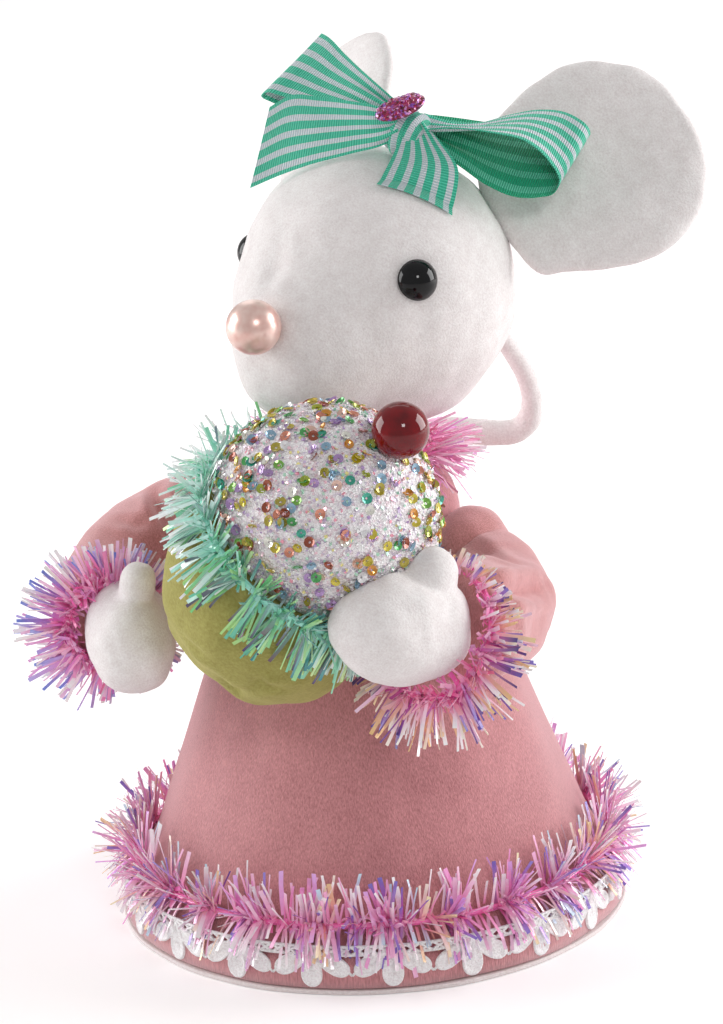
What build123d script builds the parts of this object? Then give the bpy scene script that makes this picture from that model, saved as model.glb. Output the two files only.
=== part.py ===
from build123d import *
import math
import os

os.makedirs("parts", exist_ok=True)

# Stuffed mouse figurine, sitting on a round base and holding a cupcake, in millimetres.
# +Z is up, the floor is Z = 0 and the base is centred on the origin.
# The mouse faces -Y, so its own left side is +X.

# Clearances and shared sizes
fit_gap = 0.3
joint_gap = 0.6
cut_overrun = 60.0
cover_thickness = 1.6

# Base
base_felt_radius = 115.0
base_felt_thickness = 2.0
base_board_radius = 108.0
base_board_thickness = 5.0
ballast_radius = 60.0
ballast_height = 18.0
ballast_crown_share = 0.7

# Dress, a fabric cone on a stuffed torso
dress_neck_radius = 29.0
dress_neck_height = 221.0
dress_break_radius = 96.4
dress_break_height = 42.0
dress_hem_radius = 113.5
dress_hem_height = 14.0

# Hem lace, a narrow band with three hanging petals in each motif
lace_thickness = 1.4
lace_band_height = 7.0
lace_top_height = 23.0
lace_motif_count = 20
lace_petal_length = 13.0
lace_petal_width = 8.4
lace_petal_lean = 52.0
lace_petal_outline_shares = ((0.0, 0.16), (0.65, 0.5), (1.0, 0.22))

# Tinsel trims, flat strands set around a band
strand_width = 1.3
strand_thickness = 0.6
band_height = 4.0
band_thickness = 3.0
strand_root_depth = 0.8
strand_clearance = 1.5
strand_test_shares = (0.3, 0.55, 0.8, 1.0)
tilt_step_share = 0.382
hem_tinsel_height = 29.0
hem_strand_count = 128
hem_strand_length = 18.0
hem_strand_tilts = (-24.0, 70.0)
collar_height = 215.5
collar_strand_count = 44
collar_strand_length = 16.0
collar_strand_tilts = (-30.0, 25.0)
cuff_tinsel_radius = 20.5
cuff_strand_count = 48
cuff_strand_length = 20.0
cuff_strand_tilts = (-20.0, 40.0)
cup_strand_count = 76
cup_strand_length = 17.0
cup_strand_tilts = (-60.0, 10.0)

# Neck and head
neck_axis = (4.0, 6.0)
neck_dowel_radius = 5.0
neck_dowel_depth = 60.0
neck_dowel_rise = 34.0
neck_gap = 1.5
head_radius = 62.5
head_setback = 11.0
head_sideways = 2.0
head_turn_angle = -6.0
head_section_shares = (
    (-0.97, 0.243, 0.243, 0.0),
    (-0.84, 0.543, 0.543, 0.0),
    (-0.60, 0.800, 0.800, 0.0),
    (-0.30, 0.954, 0.954, 0.0),
    (0.00, 1.000, 1.000, 0.0),
    (0.30, 0.954, 0.954, 0.0),
    (0.60, 0.800, 0.810, -0.02),
    (0.83, 0.640, 0.650, -0.13),
    (1.02, 0.500, 0.510, -0.24),
    (1.16, 0.360, 0.400, -0.25),
    (1.25, 0.210, 0.250, -0.24),
)

# Nose bead and eyes
nose_bead_radius = 12.0
nose_bead_reach = 85.5
nose_bead_rise = 2.5
eye_radius = 9.0
eye_height = 6.5
eye_bearing = 56.0
eye_rise = 16.0
eye_stem_radius = 2.2
eye_stem_length = 14.0
eye_washer_radius = 7.5
eye_washer_thickness = 1.6

# Ears
ear_reach = (-73.0, 77.5, 50.0)
ear_facing = (0.69, 0.51, 0.51)
ear_half_width = 48.0
ear_half_thickness = 8.0
ear_section_shares = (
    (-1.36, 0.50, 0.60),
    (-0.92, 0.72, 0.80),
    (-0.50, 0.92, 0.95),
    (0.00, 1.00, 1.00),
    (0.38, 0.93, 0.95),
    (0.66, 0.74, 0.80),
    (0.84, 0.48, 0.55),
    (0.91, 0.20, 0.25),
)

# Ribbon bow and its gem
ribbon_width = 38.0
ribbon_thickness = 0.9
ribbon_root_share = 0.42
knot_bearing = (-0.04, 0.27, 0.96)
knot_length = 17.0
knot_width = 20.0
knot_thickness = 22.0
gem_length = 23.0
gem_width = 15.0
gem_thickness = 5.0
gem_bevel_share = 0.9
gem_bearing = (0.45, 0.1, 0.89)
gem_long_way = (-0.665, 0.627, 0.40)
gem_reach = 12.4
loop_opening = 22.0
right_loop_reach = (7.7, -57.0, 23.0)
right_loop_width_way = (-0.54, 0.25, 0.80)
left_loop_reach = (-33.0, 63.0, -15.0)
left_loop_width_way = (-0.29, 0.08, 0.95)
long_tail_root = (10.0, 12.0, 73.0)
long_tail_reach = (22.0, -50.0, -8.0)
long_tail_width_way = (-0.30, 0.02, 0.95)
long_tail_slant = 7.0
short_tail_root = (4.0, 25.0, 70.0)
short_tail_reach = (13.0, 13.0, -20.0)
short_tail_width_way = (-0.48, 0.765, -0.42)
short_tail_slant = -10.0

# Arms
shoulder_spread = 45.0
shoulder_setback = 4.0
shoulder_height = 178.0
shoulder_radius = 18.5
shoulder_relief = 1.5
sleeve_root_share = 0.96
left_sleeve_places = ((62.0, 1.0, 168.0), (84.0, -16.0, 158.0), (91.0, -48.0, 161.0), (94.0, -72.5, 167.2))
left_sleeve_ways = ((0.9, -0.25, -0.35), (0.6, -0.8, -0.05), (0.05, -1.0, 0.15), (-0.25, -0.94, 0.22))
right_sleeve_places = ((-62.0, -6.0, 180.0), (-88.0, -26.0, 172.0), (-95.0, -52.0, 158.0), (-82.0, -77.0, 146.0))
right_sleeve_ways = ((-0.93, -0.32, -0.05), (-0.5, -0.75, -0.4), (0.15, -0.85, -0.5), (0.65, -0.72, -0.25))
sleeve_radii = (20.5, 23.5, 26.0, 26.5)
wrist_radius = 13.0
wrist_depth = 9.0
paw_half_length = 26.0
paw_half_width = 23.5
paw_half_thickness = 18.0
paw_section_shares = (-0.96, -0.72, -0.38, 0.0, 0.38, 0.72, 0.96)
left_paw_reach = 38.0
right_paw_reach = 18.5
thumb_radius = 10.5
left_thumb_place = (15.0, 17.0, 20.0)
right_thumb_place = (3.2, -3.6, 26.8)
arm_wire_radius = 1.2
arm_wire_bend = 9.0

# Cupcake, leaning towards the mouse's left
cupcake_lean = 43.0
dome_place = (41.0, -88.0, 213.0)
dome_radius = 49.5
dome_seat = 15.0
cup_radius = 47.0
cup_straight_height = 20.0
cup_wall = 2.5
cup_foot_radius = 18.0
cherry_radius = 12.2
cherry_sink = 2.0

# Tail, a wired tube that leaves the back of the dress, rises and hooks round behind the head
tail_radius = 7.3
tail_tip_radius = 4.6
tail_wire_radius = 1.0
tail_root_height = 84.0
tail_root_side = 4.0
tail_root_depth = 24.0
tail_places = (
    (4.0, 104.0, 84.0),
    (3.0, 98.0, 150.0),
    (-14.0, 80.0, 190.0),
    (-4.0, 84.0, 205.0),
    (30.0, 103.0, 197.0),
    (36.0, 105.0, 224.0),
)
tail_tip_place = (21.0, 90.0, 252.0)
tail_bend_radii = (21.0, 40.0, 13.0, 13.0, 12.0, 18.0)
tail_section_count = 28
tail_taper_share = 0.55


def dress_radius_at(height):
    """Outer radius of the straight part of the dress at a height."""
    share = (height - dress_break_height) / (dress_neck_height - dress_break_height)
    return dress_break_radius + (dress_neck_radius - dress_break_radius) * share


def skirt_radius_at(height):
    """Outer radius of the flared foot of the dress at a height."""
    wall_drop = dress_neck_height - dress_break_height
    wall_flare = dress_break_radius - dress_neck_radius
    wall_length = math.hypot(wall_drop, wall_flare)
    run = dress_hem_radius - dress_break_radius
    drop = dress_break_height - dress_hem_height
    bow = (run * wall_drop - drop * wall_flare) / wall_length
    flare_radius = (run**2 + drop**2) / (2 * bow)
    centre_radius = dress_break_radius + flare_radius * wall_drop / wall_length
    centre_height = dress_break_height + flare_radius * wall_flare / wall_length
    return centre_radius - math.sqrt(flare_radius**2 - (height - centre_height) ** 2)


def dress_section(inset, bottom):
    """Half section of the dress cone, drawn in by inset, from its neck down to bottom."""
    with BuildSketch(Plane.XZ) as section:
        with BuildLine():
            wall_start = (dress_neck_radius - inset, dress_neck_height)
            wall_end = (dress_break_radius - inset, dress_break_height)
            wall = Line(wall_start, wall_end)
            flare = TangentArc(wall @ 1, (dress_hem_radius - inset, dress_hem_height), tangent=wall % 1)
            Polyline(flare @ 1, (dress_hem_radius - inset, bottom), (0, bottom), (0, dress_neck_height), wall @ 0)
        make_face()
    return section.sketch


def disc(plane, radius):
    """Round sketch in the middle of a plane."""
    with BuildSketch(plane) as section:
        Circle(radius)
    return section.sketch


def oval_section(plane, half_width, half_height, rise):
    """Oval of four arcs on a plane, with its middle raised along the plane's Y axis."""
    with BuildSketch(plane) as section:
        with BuildLine():
            for quarter in range(4):
                EllipticalCenterArc((0, rise), half_width, half_height, start_angle=quarter * 90)
        make_face()
    return section.sketch


def round_section(plane, radius):
    """Circle of four arcs in the middle of a plane."""
    return oval_section(plane, radius, radius, 0)


def plane_along(origin, way, across):
    """Plane whose normal is way and whose X axis turns as near to across as it can."""
    normal = Vector(*way).normalized()
    sideways = Vector(*across)
    sideways = sideways - normal * sideways.dot(normal)
    return Plane(origin=origin, x_dir=sideways, z_dir=normal)


def axial_plane(plane):
    """Plane through a plane's normal: its X is a radius and its Y runs along the normal."""
    return Plane(origin=plane.origin, x_dir=plane.x_dir, z_dir=plane.y_dir * -1)


def strand_is_clear(root, tip, obstacles):
    """Whether a strand keeps out of the round obstacles and of the dress."""
    for share in strand_test_shares:
        point = root + (tip - root) * share
        if math.hypot(point.X, point.Y) < dress_radius_at(point.Z) + strand_clearance:
            return False
        for centre, radius in obstacles:
            if (point - centre).length < radius + strand_clearance:
                return False
    return True


def tinsel_ring(plane, inner_radius, count, length, tilts, obstacles):
    """Trim ring with strands, each in its own radial plane, left out where it would meet a neighbour."""
    outer_radius = inner_radius + band_thickness
    strand_planes = []
    for index in range(count):
        angle = 2 * math.pi * index / count
        outward = plane.x_dir * math.cos(angle) + plane.y_dir * math.sin(angle)
        tilt_share = index * tilt_step_share % 1
        tilt = math.radians(tilts[0] + (tilts[1] - tilts[0]) * tilt_share)
        way = outward * math.cos(tilt) + plane.z_dir * math.sin(tilt)
        root = plane.origin + outward * (outer_radius - strand_root_depth)
        if strand_is_clear(root, root + way * length, obstacles):
            tangent = plane.z_dir.cross(outward)
            strand_planes.append(Plane(origin=root, x_dir=tangent, z_dir=way))
    with BuildPart() as ring:
        with BuildSketch(plane):
            Circle(outer_radius)
            Circle(inner_radius, mode=Mode.SUBTRACT)
        extrude(amount=band_height / 2, both=True)
        with BuildSketch(*strand_planes):
            Polygon((0, 0), (strand_width, 0), (strand_width / 2, strand_thickness))
        extrude(amount=length)
    return ring.part


def finish(part, name):
    """Label a finished piece and write its file."""
    part.label = name
    export_step(part, "parts/" + name + ".step")


# Places that several pieces share
neck_point = Vector(neck_axis[0], neck_axis[1], dress_neck_height)
head_centre = neck_point + Vector(head_sideways, head_setback, head_radius + neck_gap)
head_turn = math.radians(head_turn_angle)
head_plane = Plane(
    origin=head_centre,
    x_dir=(math.cos(head_turn), math.sin(head_turn), 0),
    z_dir=(math.sin(head_turn), -math.cos(head_turn), 0),
)
board_top = base_felt_thickness + base_board_thickness
lean = math.radians(cupcake_lean)
cup_way = Vector(math.sin(lean), 0, math.cos(lean))
dome_centre = Vector(*dome_place)
cup_plane = plane_along(dome_centre - cup_way * dome_seat, cup_way, (0, 1, 0))
cherry_centre = dome_centre + cup_way * (dome_radius + cherry_radius - cherry_sink)
left_shoulder = Vector(shoulder_spread, shoulder_setback, shoulder_height)
right_shoulder = Vector(-shoulder_spread, shoulder_setback, shoulder_height)


def head_way(forward, left, up):
    """Direction given along the head's own forward, left and up."""
    return head_plane.z_dir * forward + head_plane.x_dir * left + head_plane.y_dir * up


def head_point(forward, left, up):
    """Point given from the middle of the head along its own directions."""
    return head_centre + head_way(forward, left, up)


def head_sections(inset):
    """Ovals from the back of the head to the end of the muzzle, drawn in by inset."""
    sections = []
    for station, width, height, rise in head_section_shares:
        plane = head_plane.offset(station * (head_radius - inset))
        sections.append(
            oval_section(plane, width * head_radius - inset, height * head_radius - inset, rise * head_radius)
        )
    return sections


# Base: felt underside, stiff board and a weighted bag
with BuildPart() as base_felt:
    with BuildSketch(Plane.XY):
        Circle(base_felt_radius)
    extrude(amount=base_felt_thickness)
finish(base_felt.part, "base_felt")

with BuildPart() as base_board:
    with BuildSketch(Plane.XY.offset(base_felt_thickness)):
        Circle(base_board_radius)
    extrude(amount=base_board_thickness)
finish(base_board.part, "base_board")


def ballast_section(growth):
    """Half section of the weighted bag, flat below and crowned above."""
    radius = ballast_radius + growth
    top = board_top + ballast_height + growth
    crown_start = board_top + ballast_height * ballast_crown_share
    with BuildSketch(Plane.XZ) as section:
        with BuildLine():
            base_line = Line((0, board_top), (radius, board_top))
            side = Line(base_line @ 1, (radius, crown_start))
            crown = TangentArc((0, top), side @ 1, tangent=(1, 0))
            Line(crown @ 0, base_line @ 0)
        make_face()
    return section.sketch


with BuildPart() as ballast_bag:
    revolve(profiles=ballast_section(0), axis=Axis.Z)
finish(ballast_bag.part, "ballast_bag")

# Dress and the stuffing in it
tail_root = Vector(tail_root_side, dress_radius_at(tail_root_height) - tail_root_depth, tail_root_height)
tail_root_plane = Plane(origin=tail_root, x_dir=(1, 0, 0), z_dir=(0, 1, 0))


def cut_joints():
    """Sockets of the two shoulders, bore of the tail's root and bore of the neck dowel."""
    with Locations(left_shoulder, right_shoulder):
        Sphere(shoulder_radius + joint_gap, mode=Mode.SUBTRACT)
    tail_bore = disc(tail_root_plane.offset(-joint_gap), tail_radius + joint_gap)
    extrude(tail_bore, amount=cut_overrun, mode=Mode.SUBTRACT)
    dowel_bore = disc(Plane(origin=neck_point), neck_dowel_radius + fit_gap)
    extrude(dowel_bore, amount=-neck_dowel_depth - fit_gap, mode=Mode.SUBTRACT)


with BuildPart() as dress:
    revolve(profiles=dress_section(0, base_felt_thickness), axis=Axis.Z)
    revolve(profiles=dress_section(cover_thickness, base_felt_thickness), axis=Axis.Z, mode=Mode.SUBTRACT)
    cut_joints()
finish(dress.part, "dress")

with BuildPart() as torso_stuffing:
    revolve(profiles=dress_section(cover_thickness + fit_gap, board_top), axis=Axis.Z)
    revolve(profiles=ballast_section(fit_gap), axis=Axis.Z, mode=Mode.SUBTRACT)
    cut_joints()
finish(torso_stuffing.part, "torso_stuffing")

with BuildPart() as neck_dowel:
    with BuildSketch(Plane(origin=neck_point).offset(-neck_dowel_depth)):
        Circle(neck_dowel_radius)
    extrude(amount=neck_dowel_depth + neck_dowel_rise)
finish(neck_dowel.part, "neck_dowel")

# Hem lace: a band round the dress with three petals hanging from it in each motif
lace_inner_radius = dress_hem_radius + fit_gap
lace_root_height = lace_top_height - lace_band_height
lace_petal_planes = []
for motif in range(lace_motif_count):
    motif_angle = 2 * math.pi * motif / lace_motif_count
    motif_outward = Vector(math.cos(motif_angle), math.sin(motif_angle), 0)
    motif_along = Vector(-math.sin(motif_angle), math.cos(motif_angle), 0)
    motif_origin = motif_outward * lace_inner_radius + Vector(0, 0, lace_root_height + lace_band_height / 2)
    for petal_lean in (-lace_petal_lean, 0, lace_petal_lean):
        lean_angle = math.radians(petal_lean)
        hang_way = motif_along * math.sin(lean_angle) - Vector(0, 0, math.cos(lean_angle))
        lace_petal_planes.append(Plane(origin=motif_origin, x_dir=hang_way, z_dir=motif_outward))
petal_side = [
    (along * lace_petal_length + lace_band_height / 2, across * lace_petal_width)
    for along, across in lace_petal_outline_shares
]
petal_outline = petal_side + [(along, -across) for along, across in reversed(petal_side)]

with BuildPart() as hem_lace:
    with BuildSketch(Plane.XY.offset(lace_root_height)):
        Circle(lace_inner_radius + lace_thickness)
        Circle(lace_inner_radius, mode=Mode.SUBTRACT)
    extrude(amount=lace_band_height)
    with BuildSketch(*lace_petal_planes):
        with BuildLine():
            Polyline(*petal_outline, close=True)
        make_face()
    extrude(amount=lace_thickness)
finish(hem_lace.part, "hem_lace")

# Cupcake: felt cup with a foam core, a round frosting dome and a cherry on its crown


def cup_section(inset):
    """Half section of the cup on its own axis: a straight wall and a round foot."""
    radius = cup_radius - inset
    foot_radius = cup_foot_radius - inset
    foot_drop = math.sqrt(radius**2 - foot_radius**2)
    with BuildSketch(axial_plane(cup_plane)) as section:
        with BuildLine():
            wall = Line((radius, 0), (radius, -cup_straight_height))
            foot = TangentArc(wall @ 1, (foot_radius, -cup_straight_height - foot_drop), tangent=(0, -1))
            Polyline(foot @ 1, (0, -cup_straight_height - foot_drop), (0, 0), wall @ 0)
        make_face()
    return section.sketch


cup_axis = Axis(cup_plane.origin, cup_plane.z_dir)
dress_clearance = dress_section(-fit_gap, base_felt_thickness)

with BuildPart() as cup_felt:
    revolve(profiles=cup_section(0), axis=cup_axis)
    revolve(profiles=cup_section(cup_wall), axis=cup_axis, mode=Mode.SUBTRACT)
    revolve(profiles=dress_clearance, axis=Axis.Z, mode=Mode.SUBTRACT)
finish(cup_felt.part, "cup_felt")

with BuildPart() as cup_core:
    revolve(profiles=cup_section(cup_wall + fit_gap), axis=cup_axis)
    revolve(profiles=dress_section(-cup_wall - fit_gap, base_felt_thickness), axis=Axis.Z, mode=Mode.SUBTRACT)
finish(cup_core.part, "cup_core")

with BuildPart() as cupcake_frosting:
    with Locations(dome_centre):
        Sphere(dome_radius)
    split(bisect_by=cup_plane.offset(fit_gap), keep=Keep.TOP)
    with Locations(cherry_centre):
        Sphere(cherry_radius + fit_gap, mode=Mode.SUBTRACT)
finish(cupcake_frosting.part, "cupcake_frosting")

with BuildPart() as cherry:
    with Locations(cherry_centre):
        Sphere(cherry_radius)
finish(cherry.part, "cherry")

# Head: a cover lofted through ovals, its stuffing, a nose bead and two safety eyes
nose_centre = head_point(nose_bead_reach, 0, nose_bead_rise)
eye_planes = []
for side in (1, -1):
    bearing = math.radians(eye_bearing)
    rise = math.radians(eye_rise)
    eye_way = head_way(
        math.cos(bearing) * math.cos(rise), side * math.sin(bearing) * math.cos(rise), math.sin(rise)
    )
    eye_planes.append(plane_along(head_centre + eye_way * (head_radius + fit_gap), eye_way, (0, 0, 1)))
washer_depth = eye_stem_length - eye_washer_thickness * 2


def cut_head_fittings():
    """Dowel bore, seat of the nose bead and holes for the stems of the eyes."""
    dowel_bore = disc(Plane(origin=neck_point), neck_dowel_radius + fit_gap)
    extrude(dowel_bore, amount=neck_dowel_rise + fit_gap, mode=Mode.SUBTRACT)
    with Locations(nose_centre):
        Sphere(nose_bead_radius + fit_gap, mode=Mode.SUBTRACT)
    for plane in eye_planes:
        stem_hole = disc(plane, eye_stem_radius + fit_gap)
        extrude(stem_hole, amount=-eye_stem_length - fit_gap, mode=Mode.SUBTRACT)
        eye_seat = disc(plane.offset(-fit_gap), eye_radius + fit_gap)
        extrude(eye_seat, amount=eye_height, mode=Mode.SUBTRACT)


with BuildPart() as head_cover:
    loft(head_sections(0))
    loft(head_sections(cover_thickness), mode=Mode.SUBTRACT)
    cut_head_fittings()
finish(head_cover.part, "head_cover")

with BuildPart() as head_stuffing:
    loft(head_sections(cover_thickness + fit_gap))
    cut_head_fittings()
    for plane in eye_planes:
        washer_pocket = disc(plane.offset(-washer_depth - eye_washer_thickness - fit_gap), eye_washer_radius + fit_gap)
        extrude(washer_pocket, amount=eye_washer_thickness + fit_gap * 2, mode=Mode.SUBTRACT)
finish(head_stuffing.part, "head_stuffing")

with BuildPart() as nose_bead:
    with Locations(nose_centre):
        Sphere(nose_bead_radius)
finish(nose_bead.part, "nose_bead")


def safety_eye(plane):
    """Domed eye with its stem."""
    with BuildPart() as eye:
        with BuildSketch(axial_plane(plane)):
            with BuildLine():
                back = Line((0, 0), (eye_radius, 0))
                dome = TangentArc((0, eye_height), back @ 1, tangent=(1, 0))
                Line(dome @ 0, back @ 0)
            make_face()
        revolve(axis=Axis(plane.origin, plane.z_dir))
        with BuildSketch(plane):
            Circle(eye_stem_radius)
        extrude(amount=-eye_stem_length)
    return eye.part


finish(safety_eye(eye_planes[0]), "left_eye")
finish(safety_eye(eye_planes[1]), "right_eye")

with BuildPart() as eye_washers:
    for plane in eye_planes:
        with BuildSketch(plane.offset(-washer_depth - eye_washer_thickness)):
            Circle(eye_washer_radius)
            Circle(eye_stem_radius + fit_gap, mode=Mode.SUBTRACT)
        extrude(amount=eye_washer_thickness)
finish(eye_washers.part, "eye_washers")


def stuffed_ear(side):
    """Flat stuffed ear that narrows to its root, where it follows the head; side is 1 for the left ear."""
    forward, left, up = ear_reach
    middle = head_point(forward, side * left, up)
    facing = head_way(ear_facing[0], side * ear_facing[1], ear_facing[2]).normalized()
    outward = middle - head_centre
    outward = (outward - facing * outward.dot(facing)).normalized()
    sections = []
    for station, width, thickness in ear_section_shares:
        plane = Plane(origin=middle + outward * (station * ear_half_width), x_dir=facing, z_dir=outward)
        sections.append(oval_section(plane, thickness * ear_half_thickness, width * ear_half_width, 0))
    with BuildPart() as ear:
        loft(sections)
        loft(head_sections(-fit_gap), mode=Mode.SUBTRACT)
    return ear.part


finish(stuffed_ear(1), "left_ear")
finish(stuffed_ear(-1), "right_ear")

# Ribbon bow on the crown: a wrapped knot, two loops, two tails and a gem
knot_way = head_way(*knot_bearing).normalized()
knot_seat = plane_along(head_centre + knot_way * (head_radius + fit_gap), knot_way, head_plane.x_dir)
knot_side = Plane(origin=knot_seat.origin, x_dir=knot_seat.y_dir, z_dir=knot_seat.x_dir)
knot_centre = knot_seat.origin + knot_way * (knot_thickness / 2)


def knot_form(growth):
    """Solid wrap of the knot, grown by growth."""
    middle = Plane(origin=knot_centre, x_dir=knot_side.x_dir, z_dir=knot_side.z_dir)
    section = oval_section(middle, knot_width / 2 + growth, knot_thickness / 2 + growth, 0)
    return extrude(section, amount=knot_length / 2 + growth, both=True, mode=Mode.PRIVATE)


with BuildPart() as bow_knot:
    add(knot_form(0))
    fillet(bow_knot.faces().filter_by(GeomType.PLANE).edges(), radius=ribbon_thickness)
finish(bow_knot.part, "bow_knot")


def ribbon_taper(plane, length, slant):
    """Outline of a flat ribbon along a plane's X axis, gathered at its root, with a slanted far edge."""
    half = ribbon_width / 2
    root = half * ribbon_root_share
    corners = ((0, root), (ribbon_width * ribbon_root_share, half), (length + slant, half), (length - slant, -half))
    with BuildSketch(plane) as outline:
        with BuildLine():
            Polyline(*corners, (ribbon_width * ribbon_root_share, -half), (0, -root), close=True)
        make_face()
    return outline.sketch


def ribbon_loop(reach, width_way):
    """Closed loop of ribbon from the knot, opened to a round far end."""
    length = Vector(*reach).length
    flat = plane_along(knot_centre, head_way(*width_way), head_way(*reach))
    wide = Plane(origin=knot_centre, x_dir=flat.x_dir, z_dir=flat.y_dir * -1)
    end_radius = loop_opening / 2
    with BuildPart() as loop:
        with BuildSketch(flat):
            with BuildLine():
                top = Line((0, ribbon_thickness), (length - end_radius, end_radius))
                turn = ThreePointArc(top @ 1, (length, 0), (length - end_radius, -end_radius))
                Polyline(turn @ 1, (0, -ribbon_thickness), top @ 0)
            make_face()
            offset(amount=-ribbon_thickness, mode=Mode.SUBTRACT)
        extrude(amount=ribbon_width / 2, both=True)
        extrude(ribbon_taper(wide, length, 0), amount=end_radius, both=True, mode=Mode.INTERSECT)
        add(knot_form(fit_gap), mode=Mode.SUBTRACT)
        loft(head_sections(-fit_gap), mode=Mode.SUBTRACT)
    return loop.part


right_loop = ribbon_loop(right_loop_reach, right_loop_width_way)
left_loop = ribbon_loop(left_loop_reach, left_loop_width_way)
finish(right_loop, "bow_loop_right")
finish(left_loop, "bow_loop_left")


def ribbon_tail(root, reach, width_way, slant):
    """Loose end of ribbon from the knot, with its end cut at a slant."""
    across = head_way(*width_way)
    flat = plane_along(root, head_way(*reach).cross(across), head_way(*reach))
    with BuildPart() as tail_end:
        extrude(ribbon_taper(flat, Vector(*reach).length, slant), amount=ribbon_thickness / 2, both=True)
        add(knot_form(fit_gap), mode=Mode.SUBTRACT)
        loft(head_sections(-fit_gap), mode=Mode.SUBTRACT)
    return tail_end.part


long_tail_start = head_point(*long_tail_root)
finish(ribbon_tail(long_tail_start, long_tail_reach, long_tail_width_way, long_tail_slant), "bow_tail_long")
short_tail_start = head_point(*short_tail_root)
finish(ribbon_tail(short_tail_start, short_tail_reach, short_tail_width_way, short_tail_slant), "bow_tail_short")

with BuildPart() as bow_gem:
    gem_way = head_way(*gem_bearing).normalized()
    gem_seat = plane_along(knot_centre + gem_way * gem_reach, gem_way, head_way(*gem_long_way))
    loft([
        oval_section(gem_seat, gem_length / 2, gem_width / 2, 0),
        oval_section(gem_seat.offset(gem_thickness / 2), gem_length / 2, gem_width / 2, 0),
        oval_section(
            gem_seat.offset(gem_thickness), gem_length * gem_bevel_share / 2, gem_width * gem_bevel_share / 2, 0
        ),
    ], ruled=True)
finish(bow_gem.part, "bow_gem")


# Arms: a bent stuffed sleeve with a ball at the shoulder, a mitten paw, a wire and a tinsel cuff
def wire_path(shoulder, places, paw_centre):
    """Route of the arm's wire from the shoulder to the middle of the paw."""
    with BuildLine() as path:
        FilletPolyline(shoulder, *places[:-1], paw_centre, radius=arm_wire_bend)
    return path.line


def tube(path, radius):
    """Round bar along a path."""
    start = Plane(origin=path @ 0, z_dir=path % 0)
    return sweep(disc(start, radius), path=path, mode=Mode.PRIVATE)


def make_arm(side_name, shoulder, places, ways, paw_reach, thumb_place):
    """Sleeve, paw, wire and cuff of one arm."""
    cuff_plane = plane_along(places[-1], ways[-1], (0, 0, 1))
    paw_plane = cuff_plane.offset(paw_reach)
    path = wire_path(shoulder, places, paw_plane.origin)
    first_way = Vector(*places[0]) - shoulder
    sections = [round_section(plane_along(shoulder, first_way, (0, 0, 1)), shoulder_radius * sleeve_root_share)]
    for place, way, radius in zip(places, ways, sleeve_radii):
        sections.append(round_section(plane_along(place, way, (0, 0, 1)), radius))
    side = math.copysign(1, shoulder.X)
    wall_drop = dress_neck_height - dress_break_height
    wall_way = Vector(side * wall_drop, 0, dress_break_radius - dress_neck_radius).normalized()
    wall_point = Vector(side * dress_radius_at(shoulder_height), 0, shoulder_height)
    with BuildPart() as sleeve:
        loft(sections)
        split(bisect_by=Plane(origin=wall_point + wall_way * shoulder_relief, z_dir=wall_way), keep=Keep.TOP)
        with Locations(plane_along(shoulder, wall_way, (0, 0, 1))):
            Sphere(shoulder_radius)
        extrude(disc(cuff_plane, wrist_radius + fit_gap), amount=-wrist_depth - fit_gap, mode=Mode.SUBTRACT)
        add(tube(path, arm_wire_radius + fit_gap), mode=Mode.SUBTRACT)
    finish(sleeve.part, side_name + "_sleeve")

    paw_sections = []
    for share in paw_section_shares:
        girth = math.sqrt(1 - share**2)
        paw_sections.append(
            oval_section(
                paw_plane.offset(share * paw_half_length), paw_half_width * girth, paw_half_thickness * girth, 0
            )
        )
    with BuildPart() as paw:
        loft(paw_sections)
        with Locations(paw_plane.origin + Vector(*thumb_place)):
            Sphere(thumb_radius)
        split(bisect_by=cuff_plane.offset(fit_gap), keep=Keep.TOP)
        extrude(disc(cuff_plane.offset(-wrist_depth), wrist_radius), amount=wrist_depth + paw_reach)
        add(tube(path, arm_wire_radius + fit_gap), mode=Mode.SUBTRACT)
        with Locations(dome_centre):
            Sphere(dome_radius + joint_gap, mode=Mode.SUBTRACT)
    finish(paw.part, side_name + "_paw")

    with BuildPart() as arm_wire:
        add(tube(path, arm_wire_radius))
    finish(arm_wire.part, side_name + "_arm_wire")
    return cuff_plane


left_cuff_plane = make_arm(
    "left", left_shoulder, left_sleeve_places, left_sleeve_ways, left_paw_reach, left_thumb_place
)
right_cuff_plane = make_arm(
    "right", right_shoulder, right_sleeve_places, right_sleeve_ways, right_paw_reach, right_thumb_place
)

# Tinsel trims at the hem, the collar, the cuffs and the rim of the cup
left_thumb_centre = left_cuff_plane.offset(left_paw_reach).origin + Vector(*left_thumb_place)
right_thumb_centre = right_cuff_plane.offset(right_paw_reach).origin + Vector(*right_thumb_place)
dome_obstacle = (dome_centre, dome_radius)
cup_obstacle = (cup_plane.offset(-cup_straight_height).origin, cup_radius)
seam_obstacle = (cup_plane.origin, cup_radius + band_thickness + band_height)
cuff_reach = cuff_tinsel_radius + band_thickness + cuff_strand_length
cuff_obstacles = [(left_cuff_plane.origin, cuff_reach), (right_cuff_plane.origin, cuff_reach)]
paw_obstacles = [
    (left_cuff_plane.offset(left_paw_reach).origin, paw_half_length),
    (right_cuff_plane.offset(right_paw_reach).origin, paw_half_length),
    (left_thumb_centre, thumb_radius),
    (right_thumb_centre, thumb_radius),
]

hem_plane = Plane.XY.offset(hem_tinsel_height)
hem_radius = skirt_radius_at(hem_tinsel_height - band_height / 2) + fit_gap
hem_tinsel = tinsel_ring(hem_plane, hem_radius, hem_strand_count, hem_strand_length, hem_strand_tilts, [])
finish(hem_tinsel, "hem_tinsel")

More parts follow.
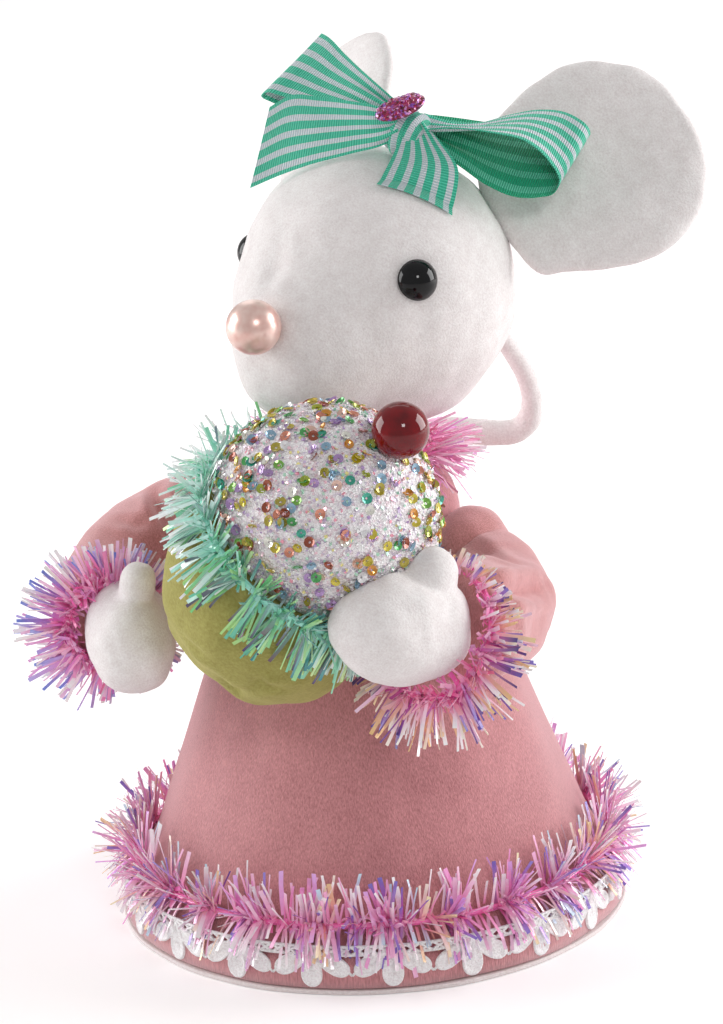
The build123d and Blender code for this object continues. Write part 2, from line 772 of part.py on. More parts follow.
collar_plane = Plane.XY.offset(collar_height)
collar_radius = dress_radius_at(collar_height - band_height / 2) + fit_gap
collar_reach = collar_radius + band_thickness + collar_strand_length
collar_tinsel = tinsel_ring(
    collar_plane,
    collar_radius,
    collar_strand_count,
    collar_strand_length,
    collar_strand_tilts,
    [dome_obstacle, seam_obstacle],
)
finish(collar_tinsel, "collar_tinsel")

for cuff_name, cuff_plane, thumb_centre in (
    ("left_cuff_tinsel", left_cuff_plane, left_thumb_centre),
    ("right_cuff_tinsel", right_cuff_plane, right_thumb_centre),
):
    cuff_tinsel = tinsel_ring(
        cuff_plane.offset(band_height / 2 + fit_gap),
        cuff_tinsel_radius,
        cuff_strand_count,
        cuff_strand_length,
        cuff_strand_tilts,
        [dome_obstacle, cup_obstacle, seam_obstacle, (thumb_centre, thumb_radius)],
    )
    finish(cuff_tinsel, cuff_name)

cup_tinsel = tinsel_ring(
    cup_plane.offset(-band_height / 2),
    cup_radius + fit_gap,
    cup_strand_count,
    cup_strand_length,
    cup_strand_tilts,
    cuff_obstacles + paw_obstacles + [(collar_plane.origin, collar_reach)],
)
finish(cup_tinsel, "cupcake_tinsel")

# Tail: a tapering stuffed tube with a wire in it
with BuildLine() as tail_route:
    FilletPolyline(tail_root, *tail_places, tail_tip_place, radius=tail_bend_radii)
tail_path = tail_route.wire()

tail_corner = Vector(*tail_places[0])
first_run = tail_corner - tail_root
first_turn = math.radians(first_run.get_angle(Vector(*tail_places[1]) - tail_corner))
tail_straight_length = first_run.length - tail_bend_radii[0] * math.tan(first_turn / 2)
tail_start_share = tail_straight_length / tail_path.length
tail_sections = []
across = Vector(1, 0, 0)
for step in range(tail_section_count + 1):
    share = tail_start_share + (1 - tail_start_share) * step / tail_section_count
    taper = max(0, share - tail_taper_share) / (1 - tail_taper_share)
    plane = plane_along(tail_path @ share, tail_path % share, across)
    across = plane.x_dir
    tail_sections.append(round_section(plane, tail_radius + (tail_tip_radius - tail_radius) * taper))

with BuildPart() as tail_cover:
    loft(tail_sections, ruled=True)
    extrude(round_section(tail_root_plane, tail_radius), amount=tail_straight_length)
    add(tube(tail_path, tail_wire_radius + fit_gap), mode=Mode.SUBTRACT)
finish(tail_cover.part, "tail_cover")

with BuildPart() as tail_wire:
    add(tube(tail_path, tail_wire_radius))
finish(tail_wire.part, "tail_wire")
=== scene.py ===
# %% [markdown]
# # A stuffed mouse with a big cupcake
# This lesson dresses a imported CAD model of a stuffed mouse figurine. The CAD holds the sizes, the joints
# and the hidden parts. Blender adds what the eye sees: velour, velvet, ribbon, lace, glitter and
# thousands of strips of tinsel film. Every length is written in millimetres and turned to metres once.

# %% Load the frame
import math

import bpy
import numpy as np
from mathutils import Matrix, Vector, noise


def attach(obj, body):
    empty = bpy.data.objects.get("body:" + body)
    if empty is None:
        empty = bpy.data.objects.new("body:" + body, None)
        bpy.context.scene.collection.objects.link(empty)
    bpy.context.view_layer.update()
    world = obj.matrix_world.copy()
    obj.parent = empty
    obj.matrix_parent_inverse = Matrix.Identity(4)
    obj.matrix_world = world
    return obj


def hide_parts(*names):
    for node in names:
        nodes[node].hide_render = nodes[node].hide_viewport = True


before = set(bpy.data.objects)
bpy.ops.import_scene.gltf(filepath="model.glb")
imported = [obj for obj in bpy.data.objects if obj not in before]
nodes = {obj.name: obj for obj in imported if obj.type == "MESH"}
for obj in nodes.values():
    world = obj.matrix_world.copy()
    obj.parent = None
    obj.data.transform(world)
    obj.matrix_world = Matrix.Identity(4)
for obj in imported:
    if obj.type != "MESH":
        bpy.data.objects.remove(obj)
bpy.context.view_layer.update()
mm = 0.001

# %% [markdown]
# ## Places that the pieces share
# The head is turned a little to the mouse's right, so pieces on it are placed in the head's own
# directions: forward, left and up. Arms, cupcake and tail use the figure's directions. One function each
# turns millimetres into metres, so no later cell has to think about units.

# %% Directions and points
head_middle = np.array((6.0, 17.0, 285.0)) * mm
head_radius = 62.5
head_turn = math.radians(-6)
head_forward = np.array((math.sin(head_turn), -math.cos(head_turn), 0))
head_left = np.array((math.cos(head_turn), math.sin(head_turn), 0))
up_way = np.array((0.0, 0.0, 1.0))


def place(*point):
    """A point of the figure, given in millimetres."""
    return np.array(point, float) * mm


def head_way(forward, left, up):
    """A direction given along the head's own forward, left and up."""
    return head_forward * forward + head_left * left + up_way * up


def head_place(forward, left, up):
    """A point given in millimetres from the middle of the head."""
    return head_middle + head_way(forward, left, up) * mm


def unit(way):
    """A direction of length one, or a whole row of them."""
    way = np.array(way, float)
    return way / np.linalg.norm(way, axis=-1, keepdims=True)


def through(knots, values, at):
    """A smooth line that passes through values at rising knots, read at each share in at."""
    knots = np.array(knots, float)
    values = np.array(values, float)
    slopes = np.gradient(values, knots, axis=0)
    at = np.clip(at, knots[0], knots[-1])
    left = np.clip(np.searchsorted(knots, at, side="right") - 1, 0, len(knots) - 2)
    gap = knots[left + 1] - knots[left]
    t = (at - knots[left]) / gap
    if values.ndim == 2:
        t = t[:, None]
        gap = gap[:, None]
    start = (2 * t**3 - 3 * t**2 + 1) * values[left] + (t**3 - 2 * t**2 + t) * gap * slopes[left]
    end = (3 * t**2 - 2 * t**3) * values[left + 1] + (t**3 - t**2) * gap * slopes[left + 1]
    return start + end


# %% [markdown]
# ## Camera
# The photograph was taken with a long lens, from the mouse's front left and a little above. The camera's
# directions come from two angles and a slight roll. The figure's middle isn't in the middle of the
# picture, so the lens is shifted by that many pixels instead of turning the camera.

# %% Camera
view_bearing = math.radians(33.0)
view_height = math.radians(17.0)
view_roll = math.radians(3.0)
aim_point = place(0, 0, 208)
camera_distance = 2014 * mm
photo_size = (723, 1024)
aim_pixel = (352.8, 461.5)
focal_pixels = 4512.7
sensor_size = 36.0
farthest_seen = 50

flat_right = np.array((math.cos(view_bearing), math.sin(view_bearing), 0))
camera_back = np.array((
    math.sin(view_bearing) * math.cos(view_height),
    -math.cos(view_bearing) * math.cos(view_height),
    math.sin(view_height),
))
flat_up = np.cross(camera_back, flat_right)
camera_right = flat_right * math.cos(view_roll) - flat_up * math.sin(view_roll)
camera_up = flat_up * math.cos(view_roll) + flat_right * math.sin(view_roll)
camera_place = aim_point + camera_back * camera_distance

bpy.ops.object.select_all(action="DESELECT")
bpy.ops.object.camera_add()
camera = bpy.context.object
camera.name = "photo_camera"
camera.matrix_world = Matrix((
    (camera_right[0], camera_up[0], camera_back[0], camera_place[0]),
    (camera_right[1], camera_up[1], camera_back[1], camera_place[1]),
    (camera_right[2], camera_up[2], camera_back[2], camera_place[2]),
    (0, 0, 0, 1),
))
camera.data.lens = focal_pixels * sensor_size / photo_size[1]
camera.data.sensor_width = sensor_size
camera.data.shift_x = (photo_size[0] / 2 - aim_pixel[0]) / photo_size[1]
camera.data.shift_y = (aim_pixel[1] - photo_size[1] / 2) / photo_size[1]
camera.data.clip_end = farthest_seen
bpy.context.scene.camera = camera
bpy.context.scene.view_settings.view_transform = "Standard"
print("lens", round(camera.data.lens, 2), "mm")


def sight_line(pixel):
    """The direction from the camera through a pixel of the photograph."""
    across = (pixel[0] - aim_pixel[0]) / focal_pixels
    down = (pixel[1] - aim_pixel[1]) / focal_pixels
    return unit(camera_right * across - camera_up * down - camera_back)


# %% [markdown]
# ## Material tools
# Colours are written as sRGB hex values, as a paint program shows them, and one function turns them into
# the linear values that Blender wants. A second one adds a node with its settings and links in one line.
# Patterns are drawn on Object coordinates, so that they stay on a piece wherever it goes.

# %% Colour and node helpers
def colour(text):
    """A colour such as #e8a9ad as linear red, green, blue and alpha."""
    parts = [int(text[i:i + 2], 16) / 255 for i in (1, 3, 5)]
    return tuple(c / 12.92 if c <= 0.04045 else ((c + 0.055) / 1.055) ** 2.4 for c in parts) + (1.0,)


def fill(node, inputs):
    """Set or link a node's inputs, which are given by name or by number."""
    for name, value in inputs.items():
        if isinstance(value, bpy.types.NodeSocket):
            node.id_data.links.new(value, node.inputs[name])
        else:
            node.inputs[name].default_value = value


def add_node(tree, kind, inputs=None, stops=(), **settings):
    """Add a node, set it up and fill its inputs. Stops are the (position, colour) pairs of a colour ramp."""
    node = tree.nodes.new(kind)
    for name, value in settings.items():
        setattr(node, name, value)
    fill(node, inputs or {})
    if stops:
        points = node.color_ramp.elements
        while len(points) < len(stops):
            points.new(0.5)
        for point, (position, tone) in zip(points, stops):
            point.position = position
            point.color = colour(tone)
    return node


def new_material(name, **surface):
    """A material with a Principled surface whose plain values are given by name."""
    material = bpy.data.materials.new(name)
    material.use_nodes = True
    shader = material.node_tree.nodes["Principled BSDF"]
    fill(shader, {key.replace("_", " "): value for key, value in surface.items()})
    return material, material.node_tree, shader


def object_noise(tree, size_mm, stretch=(1, 1, 1), detail=2.0):
    """Noise on Object coordinates whose blobs are about size_mm wide, before stretch."""
    coordinates = add_node(tree, "ShaderNodeTexCoord")
    stretched = add_node(tree, "ShaderNodeMapping", {
        "Vector": coordinates.outputs["Object"], "Scale": stretch,
    })
    return add_node(tree, "ShaderNodeTexNoise", {
        "Vector": stretched.outputs["Vector"], "Scale": 1 / (size_mm * mm), "Detail": detail,
        "Roughness": 0.6,
    }).outputs["Fac"]


def finish_surface(tree, shader, tone, height=None, bump_mm=0.0):
    """Colour the surface, and where bump_mm is given let a height texture bump it."""
    fill(shader, {"Base Color": tone})
    if bump_mm:
        bump = add_node(tree, "ShaderNodeBump", {"Height": height, "Distance": bump_mm * mm})
        fill(shader, {"Normal": bump.outputs["Normal"]})


def two_tone(name, size_mm, dark, light, low=0.35, high=0.65, stretch=(1, 1, 1), bump_mm=0.0, **surface):
    """A material whose colour drifts between two tones in soft noise."""
    material, tree, shader = new_material(name, **surface)
    cloud = object_noise(tree, size_mm, stretch)
    tone = add_node(tree, "ShaderNodeValToRGB", {"Fac": cloud}, stops=((low, dark), (high, light)))
    finish_surface(tree, shader, tone.outputs["Color"], cloud, bump_mm)
    return material


# %% [markdown]
# ## Floor, backdrop and light
# The photograph is a plain white studio shot. A white world seen by the camera is the backdrop. The floor
# is matt white and adds a little of its own light to what the camera sees, so that it meets the backdrop
# without an edge but keeps the soft pink shadow round the base. Two large soft lights stand a little
# behind the figure on its sides, and two weak ones behind and in front of it.

# %% Stage
floor_size = 8.0
floor_drop = 0.2
floor_glow = 0.22
world_level = 0.46
# Each light has a name, a place, the height that it is turned to, its size in metres and its power in watts.
studio_lights = (
    ("right_light", (1.65, 1.6, 0.9), 0.2, 1.6, 46.0),
    ("left_light", (-2.15, -0.8, 0.8), 0.2, 1.6, 38.0),
    ("back_light", (-1.1, 1.76, 1.5), 0.25, 1.8, 8.0),
    ("front_light", (1.6, -1.5, 1.7), 0.2, 0.5, 9.0),
)

bpy.ops.mesh.primitive_plane_add(size=floor_size, location=(0, 0, 0))
floor = bpy.context.object
floor.name = "studio_floor"
floor.location.z = -floor_drop * mm
floor_paint, floor_tree, floor_shader = new_material("studio_floor_paint", Roughness=0.9)
floor_path = add_node(floor_tree, "ShaderNodeLightPath")
floor_seen = add_node(floor_tree, "ShaderNodeMath", {
    0: floor_path.outputs["Is Camera Ray"], 1: floor_glow,
}, operation="MULTIPLY")
fill(floor_shader, {
    "Base Color": colour("#fbf8f8"), "Emission Color": colour("#ffffff"),
    "Emission Strength": floor_seen.outputs[0],
})
floor.data.materials.append(floor_paint)

world = bpy.data.worlds.new("white_studio")
bpy.context.scene.world = world
world.use_nodes = True
world_tree = world.node_tree
world_path = add_node(world_tree, "ShaderNodeLightPath")
straight = add_node(world_tree, "ShaderNodeMath", {
    0: world_path.outputs["Is Camera Ray"], 1: world_path.outputs["Is Transmission Ray"],
}, operation="MAXIMUM")
level = add_node(world_tree, "ShaderNodeMapRange", {
    "Value": straight.outputs[0], "To Min": world_level, "To Max": 1.0,
})
fill(world_tree.nodes["Background"], {"Color": (1, 1, 1, 1), "Strength": level.outputs[0]})

for light_name, light_spot, aim_height, light_size, power in studio_lights:
    bpy.ops.object.select_all(action="DESELECT")
    bpy.ops.object.light_add(type="AREA", location=light_spot)
    light = bpy.context.object
    light.name = light_name
    light.data.size = light_size
    light.data.energy = power
    light_way = Vector(light_spot) - Vector((0, 0, aim_height))
    light.rotation_euler = light_way.to_track_quat("Z", "Y").to_euler()

# %% [markdown]
# ## Modelling tools
# Most pieces of a stuffed figure are bags of cloth: they start as a ball whose rings are then drawn out
# along a line, as a lump of clay is rolled. One helper makes the ball and says, for each of its points,
# which ring it is on and how far round. The others select, shape, smooth, bump with soft noise and hand a
# piece over to the frame.

# %% Modelling helpers
def pick(piece, *others):
    """Select one object and any others, and make the first active."""
    bpy.ops.object.select_all(action="DESELECT")
    for chosen in (piece, *others):
        chosen.select_set(True)
    bpy.context.view_layer.objects.active = piece


def read_points(piece, kind="co"):
    """The piece's points, or the directions that they face, as rows of x, y, z."""
    rows = np.empty(len(piece.data.vertices) * 3)
    piece.data.vertices.foreach_get(kind, rows)
    return rows.reshape(-1, 3)


def move_points(piece, rows):
    """Put the piece's points where rows says."""
    piece.data.vertices.foreach_set("co", np.ascontiguousarray(rows, dtype=float).ravel())
    piece.data.update()


def finish_modifier(piece, kind, **settings):
    """Add a modifier and apply it."""
    pick(piece)
    modifier = piece.modifiers.new(kind.lower(), kind)
    for name, value in settings.items():
        setattr(modifier, name, value)
    bpy.ops.object.modifier_apply(modifier=modifier.name)


def face_outwards(piece):
    """Merge points that lie on each other and turn all faces outwards."""
    pick(piece)
    bpy.ops.object.mode_set(mode="EDIT")
    bpy.ops.mesh.select_all(action="SELECT")
    bpy.ops.mesh.remove_doubles(threshold=0.01 * mm)
    bpy.ops.mesh.normals_make_consistent(inside=False)
    bpy.ops.object.mode_set(mode="OBJECT")
    bpy.ops.object.shade_smooth()


def rolled(name, segments, rings, shape):
    """A ball drawn out by shape(share, angle), where share runs from pole to pole and angle goes round."""
    bpy.ops.object.select_all(action="DESELECT")
    bpy.ops.mesh.primitive_uv_sphere_add(segments=segments, ring_count=rings, radius=1)
    piece = bpy.context.object
    piece.name = name
    rows = read_points(piece)
    share = np.arccos(np.clip(rows[:, 2], -1, 1)) / math.pi
    angle = np.arctan2(rows[:, 1], rows[:, 0])
    move_points(piece, shape(share, angle))
    face_outwards(piece)
    return piece


def round_about(middle, along, first, second, reach, girths, angle):
    """Points at a reach along a line, and round it at two girths, all in millimetres."""
    return middle + (
        np.outer(reach, along) + np.outer(girths[0] * np.cos(angle), first)
        + np.outer(girths[1] * np.sin(angle), second)
    ) * mm


def stuff_unevenly(piece, size_mm, depth_mm, seed):
    """Move points in and out by soft noise, as uneven stuffing does."""
    rows = read_points(piece)
    ways = read_points(piece, "normal")
    offset = Vector((seed * 7.1, seed * 3.7, seed * 5.3))
    swell = np.array([noise.noise(Vector(row) / (size_mm * mm) + offset) for row in rows])
    move_points(piece, rows + ways * (swell * depth_mm * mm)[:, None])


def one_skin(piece, voxel_mm, smoothings):
    """Turn a piece that is made of several forms into one smooth skin."""
    finish_modifier(piece, "REMESH", mode="VOXEL", voxel_size=voxel_mm * mm)
    finish_modifier(piece, "SMOOTH", factor=0.5, iterations=smoothings)
    bpy.ops.object.shade_smooth()


def push_out(rows, middle, radius):
    """Move the points inside a ball out to its surface."""
    gap = rows - middle
    reach = np.linalg.norm(gap, axis=1)
    inside = reach < radius
    rows[inside] = middle + gap[inside] / reach[inside][:, None] * radius
    return rows


def press(piece, middle, radius_mm, depth_mm, along=None):
    """Press a round dent into the piece, or raise a bump where the depth is negative."""
    rows = read_points(piece)
    ways = read_points(piece, "normal") if along is None else -np.array(along)
    away = np.linalg.norm(rows - middle, axis=1) / (radius_mm * mm)
    move_points(piece, rows - ways * (np.exp(-away**2) * depth_mm * mm)[:, None])


def crease(piece, line, width_mm, depth_mm):
    """Press a fold along a line of points. A soft lip rises two widths away on each side."""
    lip_share = 0.45
    lip_distance = 2.0
    lip_width = 0.9
    rows = read_points(piece)
    ways = read_points(piece, "normal")
    nearest = np.full(len(rows), np.inf)
    along = np.zeros(len(rows))
    count = len(line) - 1
    for index in range(count):
        start = np.array(line[index])
        run = np.array(line[index + 1]) - start
        t = np.clip(((rows - start) @ run) / (run @ run), 0, 1)
        gap = np.linalg.norm(rows - start - t[:, None] * run, axis=1)
        closer = gap < nearest
        nearest = np.where(closer, gap, nearest)
        along = np.where(closer, (index + t) / count, along)
    away = nearest / (width_mm * mm)
    fade = np.sin(np.pi * np.clip(along, 0.02, 0.98)) ** 0.5
    profile = np.exp(-away**2) - lip_share * np.exp(-((away - lip_distance) / lip_width) ** 2)
    move_points(piece, rows - ways * (profile * fade * depth_mm * mm)[:, None])


def seen_points(piece, pixels):
    """Where the camera's sight lines through pixels of the photograph meet the piece."""
    found = []
    for pixel in pixels:
        hit, spot, normal, face = piece.ray_cast(Vector(camera_place), Vector(sight_line(pixel)))
        if hit:
            found.append(np.array(spot))
    return found


def keep(piece, body, slot, material, *replaced):
    """Give the piece its material and its body, and hide the CAD nodes that it stands for. The slot is not
    used.
    """
    piece.data.name = piece.name
    piece.data.materials.clear()
    piece.data.materials.append(material)
    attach(piece, body)
    if replaced:
        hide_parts(*replaced)
    print(piece.name, len(piece.data.polygons), "faces on", body)


# %% [markdown]
# ## Cloth finishes
# White velour is a knitted cloth with a short brushed pile. The pile scatters light at grazing angles,
# which sheen gives, and brushing leaves slightly greyer patches a few millimetres wide. The real pile is
# finer than a pixel, so its grain is drawn about a millimetre wide.
# Pink velvet is the same kind of cloth with a denser pile. Its rows run down the dress, so the grain is
# drawn out upwards, and strong sheen brightens its edges. Felt is pressed wool, duller and with a coarser
# grain.

# %% Velour, velvet and felt
def pile_cloth(name, dark, light, sheen_tint, sheen, grain_mm, stretch=(1, 1, 1), patch_mm=6.0,
               patch_share=0.3):
    """Short-pile cloth: patches of brushed pile, a fine grain and sheen."""
    material, tree, shader = new_material(
        name, Roughness=0.95, Specular_IOR_Level=0.2, Sheen_Weight=sheen, Sheen_Roughness=0.6,
        Sheen_Tint=colour(sheen_tint),
    )
    grain = object_noise(tree, grain_mm, stretch, detail=3.0)
    patch = object_noise(tree, patch_mm)
    both = add_node(tree, "ShaderNodeMix", {"Factor": patch_share, "A": grain, "B": patch})
    tone = add_node(
        tree, "ShaderNodeValToRGB", {"Fac": both.outputs["Result"]}, stops=((0.28, dark), (0.72, light)),
    )
    finish_surface(tree, shader, tone.outputs["Color"], grain, bump_mm=0.3)
    return material


white_velour = pile_cloth(
    "brushed_white_velour", "#ddd4d3", "#f8f5f4", "#ffffff", sheen=0.12, grain_mm=0.9,
)
pink_velvet = pile_cloth(
    "ribbed_pink_velvet", "#9c5c60", "#de9a9d", "#ffdfe3", sheen=1.0, grain_mm=0.55, stretch=(1, 1, 0.15),
    patch_mm=14.0, patch_share=0.2,
)
sleeve_velvet = pile_cloth(
    "pink_sleeve_velvet", "#a5625f", "#dc9a98", "#ffdfe3", sheen=1.0, grain_mm=0.6, stretch=(1, 1, 0.4),
    patch_mm=12.0, patch_share=0.2,
)
cup_green_felt = pile_cloth("pressed_olive_felt", "#88803f", "#aaa45e", "#e2dca6", sheen=0.5, grain_mm=1.3)
base_white_felt = pile_cloth(
    "pressed_white_felt", "#dccfcd", "#f3ebea", "#ffffff", sheen=0.2, grain_mm=1.4, patch_mm=8.0,
)

# %% [markdown]
# ## Base felt
# The figure stands on a thick felt disc whose edge shows under the lace. A cylinder gets a rounded edge
# from a bevel, and two slow waves round its rim make it hand cut.

# %% Base felt disc
base_radius = 115.0
base_thickness = 2.0
bpy.ops.object.select_all(action="DESELECT")
bpy.ops.mesh.primitive_cylinder_add(
    vertices=160, radius=base_radius * mm, depth=base_thickness * mm,
    location=(0, 0, base_thickness / 2 * mm),
)
base_disc = bpy.context.object
base_disc.name = "base_disc"
bpy.ops.object.transform_apply(location=True, rotation=True, scale=True)
finish_modifier(base_disc, "BEVEL", width=0.5 * mm, segments=2, limit_method="ANGLE")
rows = read_points(base_disc)
bearing = np.arctan2(rows[:, 1], rows[:, 0])
rows[:, :2] *= (1 + 0.002 * np.sin(bearing * 7) + 0.0015 * np.sin(bearing * 17 + 1))[:, None]
move_points(base_disc, rows)
keep(base_disc, "figure", "base_felt", base_white_felt, "base_felt")

# %% [markdown]
# ## Dress
# The dress is one velvet cone over a firm body. It is made as by hand: a ring of points at the hem is
# extruded upwards ring by ring and scaled to the cone's radius, with a flare near the floor, and closes
# over the neck. The stuffing behind it shows as very shallow swells, never as folds, and fills the
# shoulders out.

# %% Dress cone
neck_radius = 29.0
neck_height = 221.0
neck_cap_rise = 1.3
neck_cap_share = 0.95
wall_foot_radius = 96.4
wall_foot_height = 42.0
flare_height = 28.0
hem_radius = 113.5
dress_foot_height = 3.0
wall_rings = 46
shoulder_bearing = 0.35
shoulder_height = 196
shoulder_reach = 17
shoulder_swell = 6.5


def dress_radius(height):
    """Outer radius of the dress at a height, in millimetres."""
    if height >= wall_foot_height:
        rise = (height - wall_foot_height) / (neck_height - wall_foot_height)
        return wall_foot_radius + (neck_radius - wall_foot_radius) * rise
    fall = (wall_foot_height - height) / flare_height
    return wall_foot_radius + (hem_radius - wall_foot_radius) * min(1, fall * 0.62 + fall**2 * 0.38)


dress_rings = [
    (height, dress_radius(height)) for height in np.linspace(dress_foot_height, neck_height, wall_rings + 1)
]
dress_rings.append((neck_height + neck_cap_rise, neck_radius * neck_cap_share))
bpy.ops.object.select_all(action="DESELECT")
bpy.ops.mesh.primitive_circle_add(
    vertices=168, radius=dress_rings[0][1] * mm, fill_type="TRIFAN", location=(0, 0, dress_foot_height * mm),
)
dress = bpy.context.object
dress.name = "velvet_dress"
bpy.ops.object.transform_apply(location=True, rotation=True, scale=True)
pick(dress)
bpy.ops.object.mode_set(mode="EDIT")
bpy.ops.mesh.select_all(action="SELECT")
bpy.ops.mesh.select_mode(type="EDGE")
bpy.ops.mesh.region_to_loop()
for (height, radius), (next_height, next_radius) in zip(dress_rings, dress_rings[1:]):
    growth = next_radius / radius
    bpy.ops.mesh.extrude_edges_move(TRANSFORM_OT_translate={"value": (0, 0, (next_height - height) * mm)})
    bpy.ops.transform.resize(value=(growth, growth, 1), center_override=(0, 0, next_height * mm))
bpy.ops.mesh.edge_face_add()
bpy.ops.object.mode_set(mode="OBJECT")
face_outwards(dress)
rows = read_points(dress)
bearing = np.arctan2(rows[:, 1], rows[:, 0])
rise = rows[:, 2] / mm
swell = 0.9 * np.sin(bearing * 5 + rise * 0.012) + 0.5 * np.sin(bearing * 11 - rise * 0.02 + 2)
swell *= np.clip((rise - 10) / 30, 0, 1) * np.clip((neck_height - rise) / 40, 0, 1)
swell = np.maximum(swell, -0.6) + 0.5
shoulders = np.abs(np.cos(bearing - shoulder_bearing)) ** 3
swell += shoulders * np.exp(-((rise - shoulder_height) / shoulder_reach) ** 2) * shoulder_swell
reach = np.linalg.norm(rows[:, :2], axis=1) / mm
rows[:, :2] *= (1 + np.where(reach > 5, swell / np.maximum(reach, 5), 0))[:, None]
move_points(dress, rows)
stuff_unevenly(dress, size_mm=38, depth_mm=0.7, seed=2)
keep(dress, "figure", "pink_velvet", pink_velvet, "dress")

# %% [markdown]
# ## Head
# The head is a ball of stuffed velour that narrows to a muzzle under the nose bead. Its rings stand
# across the forward direction. From the widest ring backwards it is a plain half ball, and forwards each
# ring has its own reach, width, height and drop, which flow smoothly from one to the next. Then the eyes'
# hollows, the bridge of the nose and one soft fold over it are pressed in.

# %% Head form
muzzle_shares = (0.0, 0.19, 0.41, 0.60, 0.76, 0.88, 0.96, 1.0)
muzzle_reaches = (0.0, 0.30, 0.60, 0.83, 1.02, 1.16, 1.25, 1.28)
muzzle_widths = (1.0, 0.954, 0.80, 0.64, 0.50, 0.36, 0.20, 0.0)
muzzle_heights = (1.0, 0.954, 0.81, 0.65, 0.51, 0.40, 0.24, 0.0)
muzzle_drops = (0.0, 0.0, -0.02, -0.13, -0.24, -0.25, -0.24, -0.235)
# Each dent has a place on the head, a radius and a depth, and a negative depth is a bump.
head_dents = (
    ((33.4, 50, 17.2), 12, 1.2), ((33.4, -50, 17.2), 12, 1.2), ((62, -8, 22), 7, 1.6),
    ((60, 6, 16), 11, -1.0), ((73, 0, 3), 8, 2.0),
)
brow_fold = ((50, -14, 40), (60, -8, 26), (66, -10, 14))


def head_shape(share, angle):
    """Points of the head: the ball's lower pole becomes the tip of the muzzle."""
    front = share * 2 - 1
    back = np.clip(-front, 0, 1) * math.pi / 2
    ahead = np.clip(front, 0, 1)
    is_back = front < 0
    reach = np.where(is_back, -np.sin(back), through(muzzle_shares, muzzle_reaches, ahead))
    wide = np.where(is_back, np.cos(back), np.maximum(through(muzzle_shares, muzzle_widths, ahead), 0))
    high = np.where(is_back, np.cos(back), np.maximum(through(muzzle_shares, muzzle_heights, ahead), 0))
    drop = np.outer(np.where(is_back, 0, through(muzzle_shares, muzzle_drops, ahead)), up_way)
    return round_about(
        head_middle + drop * head_radius * mm, head_forward, head_left, up_way, reach * head_radius,
        (wide * head_radius, high * head_radius), angle,
    )


head = rolled("velour_head", segments=112, rings=88, shape=head_shape)
finish_modifier(head, "SMOOTH", factor=0.5, iterations=6)
stuff_unevenly(head, size_mm=26, depth_mm=1.6, seed=5)
stuff_unevenly(head, size_mm=11, depth_mm=0.5, seed=6)
for spot, radius, depth in head_dents:
    press(head, head_place(*spot), radius, depth)
crease(head, [head_place(*spot) for spot in brow_fold], width_mm=4.0, depth_mm=1.0)
keep(head, "head", "white_velour", white_velour, "head_cover", "head_stuffing")

# %% [markdown]
# ## Ears
# Each ear is two round pieces of velour with a thin layer of stuffing, sewn to the back of the head where
# it is gathered. A flattened ball gets its outline from the ear's rows, and its middle is pressed a
# little hollow towards the front. The edge keeps the fullness of a turned seam. The photograph shows only
# the tip of the far ear, which reaches a little further than the near one.

# %% Ears
ear_rows = (0.0, 0.10, 0.25, 0.42, 0.60, 0.76, 0.88, 0.96, 1.0)
ear_reaches = (-1.25, -1.12, -0.85, -0.45, 0.02, 0.42, 0.68, 0.81, 0.85)
ear_widths = (0.0, 0.56, 0.76, 0.94, 1.0, 0.86, 0.60, 0.32, 0.0)
ear_depths = (0.0, 0.75, 0.85, 0.95, 1.0, 0.95, 0.85, 0.65, 0.0)
ear_half_width = 48.0
ear_half_depth = 7.6
far_ear_stretch = 1.12

for name, node, side, stretch in (
    ("stuffed_ear_left", "left_ear", 1, 1.0), ("stuffed_ear_right", "right_ear", -1, far_ear_stretch),
):
    ear_middle = head_place(-73.0, side * 77.5, 50.0)
    facing = unit(head_way(0.69, side * 0.51, 0.51))
    outward = ear_middle - head_middle
    outward = unit(outward - facing * (outward @ facing))

    def ear_shape(share, angle):
        """A flat bag with a full rim, longer beyond its middle where it is stretched."""
        reach = through(ear_rows, ear_reaches, share) * ear_half_width
        reach = np.where(reach > 0, reach * stretch, reach)
        wide = np.maximum(through(ear_rows, ear_widths, share), 0) * ear_half_width
        deep = np.maximum(through(ear_rows, ear_depths, share), 0) * ear_half_depth
        # The power makes the section squarer than an oval, so that the rim stays full.
        deep = deep * np.maximum(np.abs(np.sin(angle)), 1e-9) ** -0.2
        return round_about(ear_middle, outward, np.cross(outward, facing), facing, reach, (wide, deep), angle)

    ear = rolled(name, segments=72, rings=56, shape=ear_shape)
    finish_modifier(ear, "SMOOTH", factor=0.5, iterations=4)
    press(ear, ear_middle + outward * 2 * mm + facing * 8 * mm, radius_mm=26, depth_mm=3.2, along=-facing)
    stuff_unevenly(ear, size_mm=22, depth_mm=1.6, seed=8 + side)
    stuff_unevenly(ear, size_mm=9, depth_mm=0.5, seed=12 + side)
    keep(ear, "head", "white_velour", white_velour, node)

# %% [markdown]
# ## Sleeves
# A sleeve is a stuffed velvet tube with a wire in it, bent at the elbow. The tube's rings follow a smooth
# line from the shoulder to the cuff, each with its own radius. Where the arm bends, cloth folds: those
# creases are pressed in along lines read from the photograph, by sight lines that meet the sleeve, so
# that they lie on it whatever its shape.

# %% Sleeves
sleeve_stations = (0.0, 0.05, 0.26, 0.5, 0.74, 0.94, 0.985, 1.0)
sleeve_girths = (0.0, 12.5, 20.2, 24.2, 26.2, 24.0, 19.0, 0.0)
step_share = 0.004
